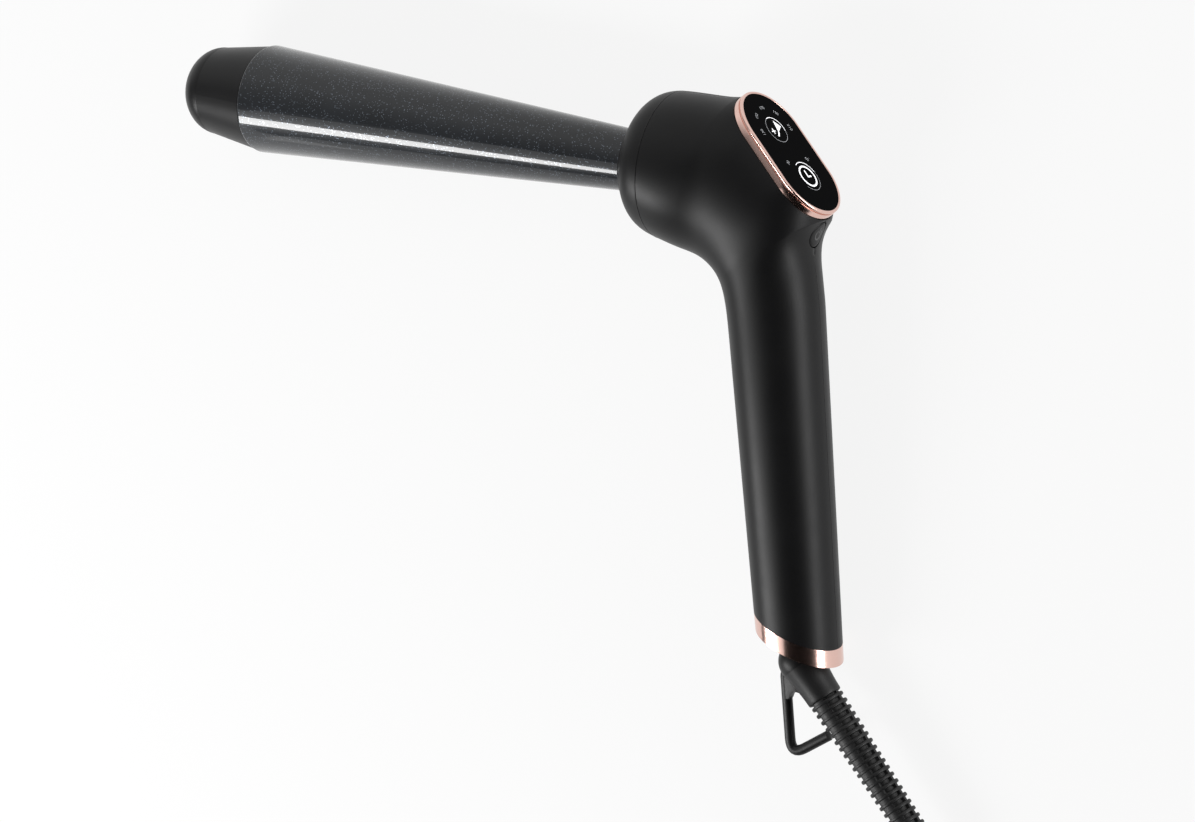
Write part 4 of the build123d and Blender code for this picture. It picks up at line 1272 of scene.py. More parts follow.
    def build(self) -> list[tuple[float, float]]:
        """Makes the three mouldings in place of their plain solids.

        Returns:
            Height and reach of the body's back, for the button to follow.
        """
        sections, seam = self.body.sections()
        grid = self.body.grid(sections, self.steps)
        for name, side, node in (("housing_near", 1, "shell_near"), ("housing_far", -1, "shell_far")):
            mesh = self.shell_mesh(name, side, grid[seam:], sections[seam:])
            piece = link(name, smooth(self.drilled(mesh), self.sharp), self.palette.soft, TOOL)
            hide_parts(node)
        ring = self.ring_mesh("front_ring", grid[: seam + 1])
        piece = link("front_ring", ring, self.palette.soft, TOOL)
        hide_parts("head_ring")
        return self.back_line(grid, seam)


@dataclass
class PowerButton:
    """Round button whose face follows the handle's back, with the sign for on and off.

    Attributes:
        back: Height and reach of the handle's back.
        edge: Width and drop of the face's rounded edge.
        rings: Radii of the loops on the face.
        across_r: Radius of the face across the handle.
        flange: Radius, top and foot of the flange.
        sign_ring: Outer and inner radius, and half the gap in degrees.
        sign_bar: Start, length and half width.
    """

    plane: ToolPlane
    palette: Palette
    back: list[tuple[float, float]]
    down: float = 17.2
    radius: float = 3.9
    proud: float = 0.22
    edge: tuple[float, float] = (0.6, 0.35)
    rings: tuple[float, ...] = (3.9, 3.84, 3.7, 3.5, 3.3, 3.0, 2.4, 1.6, 0.8, 0.25)
    around: int = 64
    across_r: float = 16.5
    flange: tuple[float, float, float] = (4.85, -3.2, -4.1)
    seat: float = 17.27
    sign_ring: tuple[float, float, float] = (1.75, 1.25, 35.0)
    sign_bar: tuple[float, float, float] = (0.5, 1.9, 0.22)

    def surface(self, along: float, across: float) -> float:
        """Reach of the handle's back at a place on the button.

        Args:
            along: Place up the handle.
            across: Place across it.

        Returns:
            Distance from the handle's middle line.
        """
        height = -self.down + along
        for (y1, x1), (y2, x2) in zip(self.back, self.back[1:]):
            if y2 <= height <= y1:
                reach = x1 + (x2 - x1) * (height - y1) / (y2 - y1)
                return reach - across * across / (2 * self.across_r)
        return self.back[0][1]

    def face_point(self, radius: float, angle: float, lift: float) -> Vector:
        """Point on the face, lifted off it.

        Args:
            radius: Distance from the face's middle.
            angle: Angle round it in radians.
            lift: Height over the face.

        Returns:
            The point.
        """
        along, across = radius * math.cos(angle), radius * math.sin(angle)
        width, drop = self.edge
        edge = max(0.0, (radius - (self.radius - width)) / width)
        reach = self.surface(along, across) + self.proud - drop * edge * edge + lift
        return self.plane.at(reach, -self.down + along, across)

    def flat_point(self, radius: float, angle: float, height: float) -> Vector:
        """Point on a level of the hidden part."""
        along, across = radius * math.cos(angle), radius * math.sin(angle)
        return self.plane.at(self.seat + height, -self.down + along, across)

    def cap(self) -> bpy.types.Mesh:
        """The button with its flange.

        Returns:
            The closed mesh.
        """
        turns = [2 * math.pi * k / self.around for k in range(self.around)]
        wide, top, foot = self.flange
        levels = ((wide, foot), (wide, top), (self.radius, top))
        rows = [[self.flat_point(radius, turn, height) for turn in turns] for radius, height in levels]
        rows += [[self.face_point(radius, turn, 0.0) for turn in turns] for radius in self.rings]
        return closed_mesh("power_cap", rows, False, 50)

    def sign(self) -> bpy.types.Mesh:
        """Broken ring and bar, printed on the face.

        Returns:
            Both as one thin mesh.
        """
        work = bmesh.new()
        outer, inner, gap = self.sign_ring
        steps = 40
        turns = [math.radians(gap + (360 - 2 * gap) * k / steps) for k in range(steps + 1)]
        ring = [((outer, turn), (inner, turn)) for turn in turns]
        start, length, half = self.sign_bar
        places = [start + length * k / 6 for k in range(7)]
        edges = [(math.hypot(x, half), math.atan2(half, x)) for x in places]
        bar = [((reach, turn), (reach, -turn)) for reach, turn in edges]
        for strip in (ring, bar):
            cuts = []
            for ends in strip:
                points = [self.face_point(*end, lift) for end in ends for lift in PRINT]
                cuts.append([work.verts.new(point) for point in points])
            for here, there in zip(cuts, cuts[1:]):
                for i, j in ((0, 1), (1, 3), (3, 2), (2, 0)):
                    work.faces.new((here[i], here[j], there[j], there[i]))
            for end in (cuts[0], cuts[-1]):
                work.faces.new((end[0], end[1], end[3], end[2]))
        return mesh_from(work, "power_sign")

    def build(self) -> None:
        """Makes the button and its sign."""
        cap = link("power_cap", self.cap(), self.palette.soft, BUTTON)
        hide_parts("power_button")
        sign = link("power_sign", self.sign(), self.palette.dull, BUTTON)


class Lettering(Enum):
    """Plain numbers of the panel's settings."""

    HEAT = ("130", "150", "170", "190", "210")
    MINUTES = ("30", "60")


@dataclass
class TouchPanel:
    """Rose frame round black glass, with two lit signs and their settings.

    Attributes:
        wall: Inset and height of the frame's corners, from the seat up to the bead.
        bead_middle: Inset and height of the bead's middle.
        bead_r: The bead's radius across and up.
        glass_edge: Inset and height of the frame's edge under the glass.
        label_r: Distance of the numbers from their sign's middle.
    """

    plane: ToolPlane
    palette: Palette
    facing: float = 34.2
    seat: tuple[float, float] = (10.265, 2.789)
    half: tuple[float, float] = (24.4, 15.1)
    wall: tuple[tuple[float, float], ...] = (
        (3.9, 1.8), (3.9, 0.0), (0.12, 0.0), (0.0, 0.12), (0.0, 1.95), (0.06, 2.09), (0.42, 2.16), (0.42, 2.5),
    )
    bead_middle: tuple[float, float] = (0.62, 2.98)
    bead_r: tuple[float, float] = (0.58, 0.60)
    glass_edge: tuple[float, float] = (1.12, 1.8)
    glass_top: float = 3.5
    heat_place: float = 8.8
    time_place: float = -9.8
    label_r: float = 8.7
    text: float = 1.75
    text_half: float = 0.012

    def at(self, along: float, across: float, height: float) -> Vector:
        """Point given on the panel, in millimetres.

        Args:
            along: Place along the panel.
            across: Place across it.
            height: Height over its seat.

        Returns:
            The point.
        """
        out, up = self.seat[0] + height, self.seat[1] + along
        angle = math.radians(self.facing)
        x = out * math.cos(angle) - up * math.sin(angle)
        return self.plane.at(x, out * math.sin(angle) + up * math.cos(angle), across)

    def oval(self, inset: float, height: float, steps: int = 48) -> list[Vector]:
        """Loop round the panel.

        Args:
            inset: How far it is drawn in.
            height: Height over the seat.
            steps: Points round each end.

        Returns:
            The loop's points.
        """
        length, width = self.half
        points = []
        for side in (1, -1):
            for k in range(steps + 1):
                angle = math.pi * k / steps - math.pi / 2 + (0 if side > 0 else math.pi)
                along = side * (length - width) + (width - inset) * math.cos(angle)
                points.append(self.at(along, (width - inset) * math.sin(angle), height))
        return points

    def frame_mesh(self) -> bpy.types.Mesh:
        """Side wall, dark groove and a round polished bead that holds the glass.

        Returns:
            The closed frame.
        """
        (inset, height), (wide, high) = self.bead_middle, self.bead_r
        turns = [math.radians(degrees) for degrees in range(-35, 171, 9)]
        bead = [(inset - wide * math.cos(turn), height + high * math.sin(turn)) for turn in turns]
        profile = [*self.wall, *bead, self.glass_edge]
        return closed_mesh("rose_frame", [self.oval(*point) for point in profile], True, 42)

    def flat(self, name: str, outlines: Sequence[Outline]) -> bpy.types.Mesh:
        """Thin print on the glass.

        Args:
            name: Mesh name.
            outlines: Filled outlines, given along the panel and across it.

        Returns:
            The mesh.
        """
        work = bmesh.new()
        for outline in outlines:
            sides = [[self.at(x, y, self.glass_top + lift) for x, y in outline] for lift in PRINT]
            low, high = ([work.verts.new(point) for point in side] for side in sides)
            band(work, low, high)
            work.faces.new(high)
            work.faces.new(low[::-1])
        return mesh_from(work, name)

    @staticmethod
    def arc(
        place: float, outer: float, inner: float, start: float, end: float, steps: int
    ) -> list[Outline]:
        """Ring sector as small four sided outlines.

        Args:
            place: Middle of the ring along the panel.
            outer: Outer radius.
            inner: Inner radius.
            start: Angle where it begins, in degrees from the panel's upper end.
            end: Angle where it ends.
            steps: How many outlines.

        Returns:
            The outlines.
        """
        pieces = []
        for k in range(steps):
            a, b = (math.radians(start + (end - start) * (k + j) / steps) for j in (0, 1))
            corners = ((outer, a), (outer, b), (inner, b), (inner, a))
            pieces.append([(place + r * math.cos(t), r * math.sin(t)) for r, t in corners])
        return pieces

    def heat_sign(self) -> list[Outline]:
        """Pointer with a short stem, and a plus beside it.

        Returns:
            Filled outlines.
        """
        c = self.heat_place
        pointer = [(c + 3.5, -1.3), (c + 0.9, -3.7), (c - 1.1, -0.2)]
        stem = [(c - 0.7, -0.3), (c - 1.1, -0.7), (c - 2.7, 0.9), (c - 2.3, 1.3)]
        plus = [(c - 0.1, 1.1), (c - 0.5, 1.1), (c - 0.5, 3.3), (c - 0.1, 3.3)]
        cross = [(c + 0.8, 2.0), (c - 0.15, 2.0), (c - 0.15, 2.4), (c + 0.8, 2.4)]
        foot = [(c - 0.45, 2.0), (c - 1.4, 2.0), (c - 1.4, 2.4), (c - 0.45, 2.4)]
        return [pointer, stem, plus, cross, foot]

    def time_sign(self) -> list[Outline]:
        """Clock face with two hands.

        Returns:
            Filled outlines.
        """
        c = self.time_place
        hands = [[(c + 2.3, 0.35), (c + 2.3, -0.25), (c - 0.5, -0.25), (c - 0.5, 0.35)]]
        hands.append([(c + 0.1, -0.25), (c + 0.1, -1.9), (c - 0.5, -1.9), (c - 0.5, -0.25)])
        return hands + self.arc(c, 4.15, 3.5, 0, 360, 48)

    def label(self, word: str, place: float, turn: float) -> bpy.types.Mesh:
        """One number, its foot toward the sign that it belongs to.

        Args:
            word: The number.
            place: Middle of the sign along the panel.
            turn: Angle round the sign in degrees.

        Returns:
            A thin mesh in its place.
        """
        curve = bpy.data.curves.new("label", "FONT")
        curve.body, curve.size, curve.extrude = word, self.text, self.text_half
        curve.align_x, curve.align_y = "CENTER", "CENTER"
        holder = put("label", curve)
        mesh = evaluated_mesh(holder)
        bpy.data.objects.remove(holder)
        angle = math.radians(turn)
        for vertex in mesh.vertices:
            x, y, z = vertex.co
            out = self.label_r + y
            along = place + out * math.cos(angle) + x * math.sin(angle)
            across = out * math.sin(angle) - x * math.cos(angle)
            vertex.co = self.at(along, across, self.glass_top + PRINT[0] + self.text_half + z)
        return mesh

    def labels(self) -> bpy.types.Mesh:
        """All numbers as one mesh.

        Returns:
            The mesh.
        """
        work = bmesh.new()
        heat = zip(Lettering.HEAT.value, (90, 45, 0, -45, -90))
        minutes = zip(Lettering.MINUTES.value, (45, -45))
        for place, words in ((self.heat_place, heat), (self.time_place, minutes)):
            for word, turn in words:
                mesh = self.label(word, place, turn)
                work.from_mesh(mesh)
                bpy.data.meshes.remove(mesh)
        return mesh_from(work, "setting_numbers")

    def build(self) -> None:
        """Makes the frame and the prints."""
        frame = link("rose_frame", self.frame_mesh(), self.palette.rose, TOOL)
        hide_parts("panel_bezel")
        heat, time = self.heat_place, self.time_place
        signs = self.heat_sign() + self.time_sign()
        signs += self.arc(heat, 5.0, 4.75, -100, 20, 20) + self.arc(time, 5.6, 5.35, -80, 30, 20)
        thin = self.arc(heat, 4.95, 4.78, 20, 260, 36) + self.arc(time, 5.55, 5.4, 130, 280, 24)
        for name, mesh, finish in (
            ("lit_signs", self.flat("lit_signs", signs), self.palette.print),
            ("dim_rings", self.flat("dim_rings", thin), self.palette.faint),
            ("setting_numbers", self.labels(), self.palette.faint),
        ):
            piece = link(name, mesh, finish, TOOL)


@dataclass
class StrainRelief:
    """Rubber sleeve with ribs and rails where the cord starts, and the loop moulded on it.

    Attributes:
        lean: How far the sleeve leans off the handle's axis, in degrees.
        socket_edge: Steps over the socket's rounded end, and how far each draws in.
        hidden: Place and radius of the loops inside the ball.
        rib_r: Radius over the first rib, and that at the end of the row.
        rib_root: How deep a rib stands in the core.
        rails: Angle, width and depth under the ribs of each pair of rails.
        rail_slope: Degrees over which a rail's side rises.
        loop: Corners of the loop's wire, from the ball's middle.
        web: Corners of the plate between loop and socket.
        web_edge: Height and inset over the plate's lower edge, mirrored for the upper.
    """

    plane: ToolPlane
    palette: Palette
    lean: float = 34.2
    ball_r: float = 7.6
    socket_r: float = 6.15
    socket_start: float = 1.6
    socket_end: float = 14.8
    socket_edge: tuple[tuple[float, float], ...] = ((0.7, 0.03), (0.95, 0.14), (1.12, 0.35), (1.2, 0.7))
    hidden: tuple[tuple[float, float], ...] = ((-0.5, 4.5), (0.8, 6.9))
    ribs: int = 24
    pitch: float = 2.62
    rib_width: float = 1.3
    rib_r: tuple[float, float] = (6.0, 4.85)
    rib_root: float = 0.5
    rib_edge: float = 0.48
    core_depth: float = 1.5
    lip: float = 2.0
    rails: tuple[tuple[float, float, float], ...] = ((90.0, 4.4, 0.12), (0.0, 1.4, 0.55))
    rail_slope: float = 5.0
    around: int = 96
    wire_r: float = 1.8
    loop: tuple[tuple[float, float], ...] = ((-4.9, -1.0), (-6.3, -5.0), (-6.3, -32.7), (8.6, -24.9))
    corner_r: float = 3.6
    web: tuple[tuple[float, float], ...] = (
        (-6.4, -2.0), (-6.5, -8.0), (-6.4, -13.4), (-5.0, -13.2), (-4.4, -11.9),
        (-3.6, -10.9), (-2.4, -10.4), (0.6, -11.0), (1.5, -4.0),
    )
    web_edge: tuple[tuple[float, float], ...] = ((-1.75, 0.16), (-1.6, 0.07), (-1.25, 0.0))

    def length(self) -> float:
        """From the ball's middle to the sleeve's end."""
        return self.socket_end + self.ribs * self.pitch + self.lip

    def at(self, along: float, x: float, z: float) -> Vector:
        """Point given along the sleeve and across it, in millimetres."""
        way, side = self.plane.heading(self.lean - 90), self.plane.heading(self.lean)
        return self.plane.at(0, -self.plane.knuckle_down) + (way * along + side * x + self.plane.z * z) * MM

    def crest(self, along: float) -> float:
        """Radius over the ribs."""
        share = (along - self.socket_end) / (self.ribs * self.pitch)
        return self.rib_r[0] + (self.rib_r[1] - self.rib_r[0]) * share

    def rail_share(self, angle: float, turn: float, width: float, top: float) -> float:
        """How much of a rail's height stands at an angle.

        Args:
            angle: The angle in degrees.
            turn: The rail's own angle.
            width: Its width.
            top: Radius of its top.

        Returns:
            A share from 0 to 1.
        """
        off = abs((angle - turn + 90) % 180 - 90)
        past = off - math.degrees(math.asin(width / 2 / top))
        share = min(max(past / self.rail_slope, 0.0), 1.0)
        return 1 - share * share * (3 - 2 * share)

    def ring(self, along: float, radius: float = 0.0) -> list[Vector]:
        """Loop of the sleeve: round where a radius is given, else core and rails.

        Args:
            along: Distance along the sleeve.
            radius: Radius of a round loop.

        Returns:
            The loop's points.
        """
        points = []
        core = self.crest(along) - self.core_depth
        for k in range(self.around):
            angle = 360 * k / self.around
            reach = radius or core
            for turn, width, depth in () if radius else self.rails:
                top = self.crest(along) - depth
                reach = max(reach, core + (top - core) * self.rail_share(angle, turn, width, top))
            bearing = math.radians(angle)
            points.append(self.at(along, reach * math.cos(bearing), reach * math.sin(bearing)))
        return points

    def sleeve(self) -> bpy.types.Mesh:
        """Socket that flows off the ball, core with its rails, and end lip.

        Returns:
            The closed mesh.
        """
        start, end, length = self.socket_start, self.socket_end - self.socket_edge[-1][0], self.length()
        flare = math.sqrt(self.ball_r**2 - start**2) - self.socket_r
        rows = [self.ring(*place) for place in self.hidden]
        for k in range(13):
            share = k / 12
            rows.append(self.ring(start + (end - start) * share, self.socket_r + flare * (1 - share) ** 1.6))
        rows += [self.ring(end + step, self.socket_r - drop) for step, drop in self.socket_edge]
        first, run = self.socket_end + 0.02, length - self.lip - self.socket_end - 0.04
        rows += [self.ring(first + run * k / 20) for k in range(21)]
        tip, lip = self.crest(length) - 0.2, self.lip
        edge = ((lip, 0.5), (lip - 0.05, 0.2), (lip - 0.3, 0.0), (0.3, 0.0), (0.08, 0.15), (0.0, 0.4))
        rows += [self.ring(length - back, tip - drop) for back, drop in edge]
        return closed_mesh("relief_sleeve", rows, False, 40)

    def rib_row(self) -> bpy.types.Mesh:
        """Rounded rings on a tapering row, moved onto the sleeve.

        Returns:
            All ribs as one mesh.
        """
        sizes = {
            "Count": self.ribs,
            "Start": (self.socket_end + self.pitch / 2) * MM,
            "Pitch": self.pitch * MM,
            "Width": self.rib_width * MM,
            "Depth": (self.core_depth + self.rib_root) * MM,
            "Edge": self.rib_edge * MM,
            "First": self.rib_r[0] * MM,
            "Taper": self.rib_r[1] / self.rib_r[0] - 1,
        }
        tree = RepeatTree("relief_ribs", sizes)
        depth, width = tree.size("Depth"), tree.size("Width")
        row = tree.add("GeometryNodeMeshLine", {"mode": "OFFSET"}, {
            "Count": tree.size("Count"),
            "Start Location": tree.vector(0.0, 0.0, tree.size("Start")),
            "Offset": tree.vector(0.0, 0.0, tree.size("Pitch")),
        })
        round_line = {"Resolution": 72, "Radius": tree.size("First") - depth * 0.5}
        circle = tree.add("GeometryNodeCurvePrimitiveCircle", {}, round_line)
        oblong = tree.add("GeometryNodeCurvePrimitiveQuadrilateral", {}, {"Width": depth, "Height": width})
        corners = {"Curve": oblong, "Count": 4, "Radius": tree.size("Edge")}
        rounded = tree.add("GeometryNodeFilletCurve", {"mode": "POLY"}, corners)
        ring = tree.add("GeometryNodeCurveToMesh", {}, {"Curve": circle, "Profile Curve": rounded})
        ring = tree.add("GeometryNodeSetShadeSmooth", {}, {"Geometry": ring})
        index = tree.add("GeometryNodeInputIndex", {}, {})
        narrow = index.math("DIVIDE", tree.size("Count")) * tree.size("Taper") + 1.0
        places = {"Points": row, "Instance": ring, "Scale": tree.vector(narrow, narrow, 1.0)}
        mesh = tree.mesh(tree.add("GeometryNodeInstanceOnPoints", {}, places), self.palette.rubber)
        for vertex in mesh.vertices:
            x, z, along = vertex.co / MM
            vertex.co = self.at(along, x, z)
        work = bmesh.new()
        work.from_mesh(mesh)
        bmesh.ops.recalc_face_normals(work, faces=work.faces)
        work.to_mesh(mesh)
        work.free()
        return mesh

    def from_ball(self, x: float, y: float, z: float = 0.0) -> Vector:
        """Point given from the ball's middle in the tool's plane."""
        return self.plane.at(x, -self.plane.knuckle_down + y, z)

    def loop_path(self) -> list[Vector]:
        """Middle line of the loop's wire, with round corners.

        Returns:
            Points along the wire.
        """
        knots = [Vector(knot) for knot in self.loop]
        line = [knots[0]]
        for before, knot, after in zip(knots, knots[1:], knots[2:]):
            into, out = (before - knot).normalized(), (after - knot).normalized()
            trim = min(self.corner_r / math.tan(into.angle(out) / 2), (before - knot).length * 0.45)
            first, last = knot + into * trim, knot + out * trim
            for k in range(9):
                share = k / 8
                line.append(first.lerp(knot, share).lerp(knot.lerp(last, share), share))
        line.append(knots[-1])
        return [self.from_ball(point.x, point.y) for point in line]

    def web_mesh(self) -> bpy.types.Mesh:
        """Rounded plate that joins the loop's upper end to the socket.

        Returns:
            The closed mesh.
        """
        middle = sum((Vector(corner) for corner in self.web), Vector((0, 0))) / len(self.web)
        upper = [(-height, inset) for height, inset in self.web_edge[::-1]]
        rows = []
        for height, inset in (*self.web_edge, *upper):
            corners = [Vector(corner).lerp(middle, inset) for corner in self.web]
            rows.append([self.from_ball(corner.x, corner.y, height) for corner in corners])
        return closed_mesh("loop_web", rows, False, 50)

    def build(self) -> None:
        """Makes the sleeve, its ribs and the loop."""
        rubber = self.palette.rubber
        sleeve = link("relief_sleeve", self.sleeve(), rubber, SWIVEL)
        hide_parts("strain_relief")
        line = tube_mesh("loop_wire", self.loop_path(), self.wire_r * MM, 24)
        wire = link("loop_wire", line, rubber, SWIVEL)
        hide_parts("hanging_loop")
        ribs = link("relief_ribs", self.rib_row(), rubber, SWIVEL)
        web = link("loop_web", self.web_mesh(), rubber, SWIVEL)


@dataclass
class Plug:
    """Flat moulded plug body, wide at its pins and drawn in to the cord.

    Attributes:
        width: Width at the rear, in the middle and at the front.
        thickness: Thickness at the rear and at the front.
        relief: Length of the cord's guard behind the body.
        grips: How many grip grooves, the first one's place, their pitch and depth.
    """

    plane: ToolPlane
    palette: Palette
    width: tuple[float, float, float] = (15.9, 33.2, 35.3)
    thickness: tuple[float, float] = (10.96, 13.7)
    length: float = 34.0
    corner: float = 4.0
    edge: float = 1.0
    relief: float = 22.0
    grips: tuple[int, float, float, float] = (4, 19.0, 3.0, 0.35)

    def outline(self, width: float, thickness: float, inset: float) -> list[tuple[float, float]]:
        """Rounded oblong across the plug.

        Args:
            width: Its width.
            thickness: Its thickness.
            inset: How far it is drawn in.

        Returns:
            Points round it.
        """
        radius = min(self.corner, thickness / 2 - 0.5) - inset * 0.5
        half_x, half_y = width / 2 - inset - radius, thickness / 2 - inset - radius
        points = []
        for turn, (x, y) in zip((0, 90, 180, 270), ((1, 1), (-1, 1), (-1, -1), (1, -1))):
            for k in range(9):
                angle = math.radians(turn + 90 * k / 8)
                points.append((x * half_x + radius * math.cos(angle), y * half_y + radius * math.sin(angle)))
        return points

    def size_at(self, along: float) -> tuple[float, float]:
        """Width and thickness at a place on the plug.

        Args:
            along: Distance from its rear.

        Returns:
            Width and thickness.
        """
        rear, waist, front = self.width
        thin, thick = self.thickness
        share = min(along / (self.length / 2), 1.0)
        eased = share * share * (3 - 2 * share)
        late = max(0.0, along / (self.length / 2) - 1.0)
        count, first, pitch, depth = self.grips
        grip = 0.0
        if first < along < first + pitch * (count - 0.5):
            grip = depth * max(0.0, math.sin(math.pi * (along - first) / (pitch / 2)))
        width = rear + (waist - rear) * eased + (front - waist) * late - 2 * grip
        return width, thin + (thick - thin) * eased

    def build(self, tail: Sequence[Vector]) -> bpy.types.Object:
        """Makes the body on the end of the cord.

        Args:
            tail: The cord's last points.

        Returns:
            The body.
        """
        along = (tail[-1] - tail[-2]).normalized()
        side = along.cross(Vector((0, 0, 1)))
        rear = tail[-1] + along * self.relief * MM
        edge, length = self.edge, self.length
        round_in = ((0.0, edge), (0.15, 0.55), (0.5, 0.15), (edge, 0.0))
        steps = [*round_in, *((edge + (length - 2 * edge) * k / 100, 0.0) for k in range(1, 100))]
        steps += [(length - place, inset) for place, inset in round_in[::-1]]
        rows = []
        for place, inset in steps:
            outline = self.outline(*self.size_at(place), inset)
            rows.append([rear + (along * place + side * x + Vector((0, 0, y))) * MM for x, y in outline])
        mesh = closed_mesh("plug_shell", rows, False, 50)
        piece = link("plug_shell", mesh, self.palette.rubber, TOOL)
        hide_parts("plug_body")
        return piece


@dataclass
class CordSet:
    """Mains cord: from the strain relief to a tied coil, then to a flat plug.

    Attributes:
        exit_lean: Angle of the cord's way out off the handle's axis, in degrees.
        exit_reach: From the ball's middle to where the cord leaves the sleeve.
        coil_place: The coil's middle on the floor, from there.
        tie: Thickness of the tie under the coil.
        length: Length stated for the cord, in metres; not used.
    """

    plane: ToolPlane
    palette: Palette
    radius: float = 3.25
    exit_lean: float = 34.2
    exit_reach: float = 79.68
    coil_place: tuple[float, float] = (4.0, -182.0)
    coil_radius: float = 38.5
    tie: float = 0.9
    turns: float = 6.5
    knots_per_turn: int = 16
    length: float = 1.81
    plug_height: float = 6.85

    def exit(self) -> Vector:
        """Where the cord leaves the strain relief."""
        return self.plane.at(0, -self.plane.knuckle_down) + self.direction() * self.exit_reach * MM

    def direction(self) -> Vector:
        """Way that the cord leaves."""
        return self.plane.heading(self.exit_lean - 90)

    def centre(self) -> Vector:
        """Middle of the coil on the floor."""
        way = self.exit()
        return Vector((way.x + self.coil_place[0] * MM, way.y + self.coil_place[1] * MM, 0))

    def beside_coil(self, x: float, y: float, z: float) -> Vector:
        """Point given from the coil's middle, in millimetres."""
        return self.centre() + Vector((x, y, z)) * MM

    def lead(self) -> list[Vector]:
        """Route down to the floor and on to the coil.

        Returns:
            Control points of the route.
        """
        start = self.exit()
        floor = self.radius

        def at(x: float, y: float, z: float) -> Vector:
            """Point given from the exit, at a height over the floor."""
            return Vector((start.x + x * MM, start.y + y * MM, z * MM))

        still, settled = at(37, -66, floor), at(44, -94, floor)
        onward = settled + (settled - still).normalized() * 24 * MM
        side = self.coil_radius + self.radius
        last = self.beside_coil(side + 0.8, 42, floor + 0.3)
        return [start, start + self.direction() * 36 * MM, still, settled, onward, last]

    def slots(self) -> list[tuple[float, float]]:
        """Places of the turns in the bundle, in the order in which the cord fills them."""
        r, row = self.radius, self.radius * math.sqrt(3)
        return [(r, 0), (-r, 0), (-2 * r, row), (0, row), (-r, 2 * row), (r, 2 * row), (2 * r, row)]

    def coil(self) -> list[Vector]:
        """Turns of the coil, clockwise from the cord's side.

        Returns:
            Control points of the route.
        """
        slots = self.slots()
        base = self.tie + self.radius
        count = int(self.turns * self.knots_per_turn)
        start = 0.06
        bulge = 2 / (1 + math.cos(math.pi / self.knots_per_turn))
        points = []
        for k in range(count + 1):
            turned = k / self.knots_per_turn - start if k else -0.05
            slot = min(max(int(turned), 0), len(slots) - 1)
            share = min(max((turned - slot - 0.76) / 0.17, 0.0), 1.0)
            share = share * share * (3 - 2 * share)
            here, there = slots[slot], slots[min(slot + 1, len(slots) - 1)]
            out = here[0] + (there[0] - here[0]) * share
            up = here[1] + (there[1] - here[1]) * share
            angle = -2 * math.pi * turned
            reach = (self.coil_radius + out) * bulge
            points.append(self.beside_coil(reach * math.cos(angle), reach * math.sin(angle), base + up))
        return points

    def tail(self) -> list[Vector]:
        """Route from the coil to the plug.

        Returns:
            Control points of the route.
        """
        side = self.coil_radius + 2 * self.radius
        level = self.tie + self.radius + self.radius * math.sqrt(3)
        return [
            self.beside_coil(-side - 1.0, 36, level - 0.6),
            self.beside_coil(-side - 11.0, 59, self.plug_height),
            self.beside_coil(-side - 29.0, 75, self.plug_height),
        ]

    def build(self) -> None:
        path = curve_points(self.lead() + self.coil() + self.tail())
        piece = put("mains_cord", tube_mesh("mains_cord", path, self.radius * MM))
        piece.data.materials.append(self.palette.rubber)
        start, end = self.exit(), self.lead()[3]
        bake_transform(piece)
        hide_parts("cord_lead", "cord_run", "cord_coil", "cord_tail")
        run = sum((b - a).length for a, b in zip(path, path[1:]))
        LOG.info("mains_cord: %d faces, %.3f m along its middle", len(piece.data.polygons), run)
        shell = Plug(self.plane, self.palette).build(self.tail())
        tuple(start)


class SeenTree(TreeWriter):
    """Tree that shows one shader where it is seen and uses another as light."""

    def __init__(self, tree: bpy.types.NodeTree, output: str) -> None:
        """Empties the tree and gives it its output.

        Args:
            tree: Tree of a material or of the world.
            output: Type of its output node.
        """
        self.tree = tree
        self.tree.nodes.clear()
        self.output = self.tree.nodes.new(output)

    def seen(self) -> Signal:
        """Makes a switch for what is seen.

        Returns:
            1 for rays from the camera, off a mirror or through glass, else 0.
        """
        rays = ("Is Camera Ray", "Is Glossy Ray", "Is Transmission Ray")
        camera, mirror, glass = (self.add("ShaderNodeLightPath", {}, {}, ray) for ray in rays)
        return camera.math("MAXIMUM", mirror).math("MAXIMUM", glass)

    def show(self, share: Signal, light: Signal, seen: Signal) -> None:
        """Puts out the shader for light and, by a share, the one that is seen."""
        mixed = self.add("ShaderNodeMixShader", {}, {0: share, 1: light, 2: seen})
        self.tree.links.new(mixed.link, self.output.inputs["Surface"])


@dataclass(frozen=True)
class Panel:
    """Lamp or card that stands round the tool.

    Attributes:
        name: Name of its object and finish.
        toward: Direction from the tool to it, in the tool's plane.
        distance: Its distance in metres.
        size: Its length and height in metres.
        radiance: A lamp's radiance, 0 for a card.
        along: Direction of its long side.
        origin: Point on the tool that it faces, in millimetres.
        glow: A card's own light at its lower and upper edge.
    """

    name: str
    toward: tuple[float, float, float]
    distance: float
    size: tuple[float, float]
    radiance: float = 0.0
    along: tuple[float, float, float] = (0, 1, 0)
    origin: tuple[float, float] = (-40, -40)
    glow: tuple[float, float] = (0.0, 0.0)


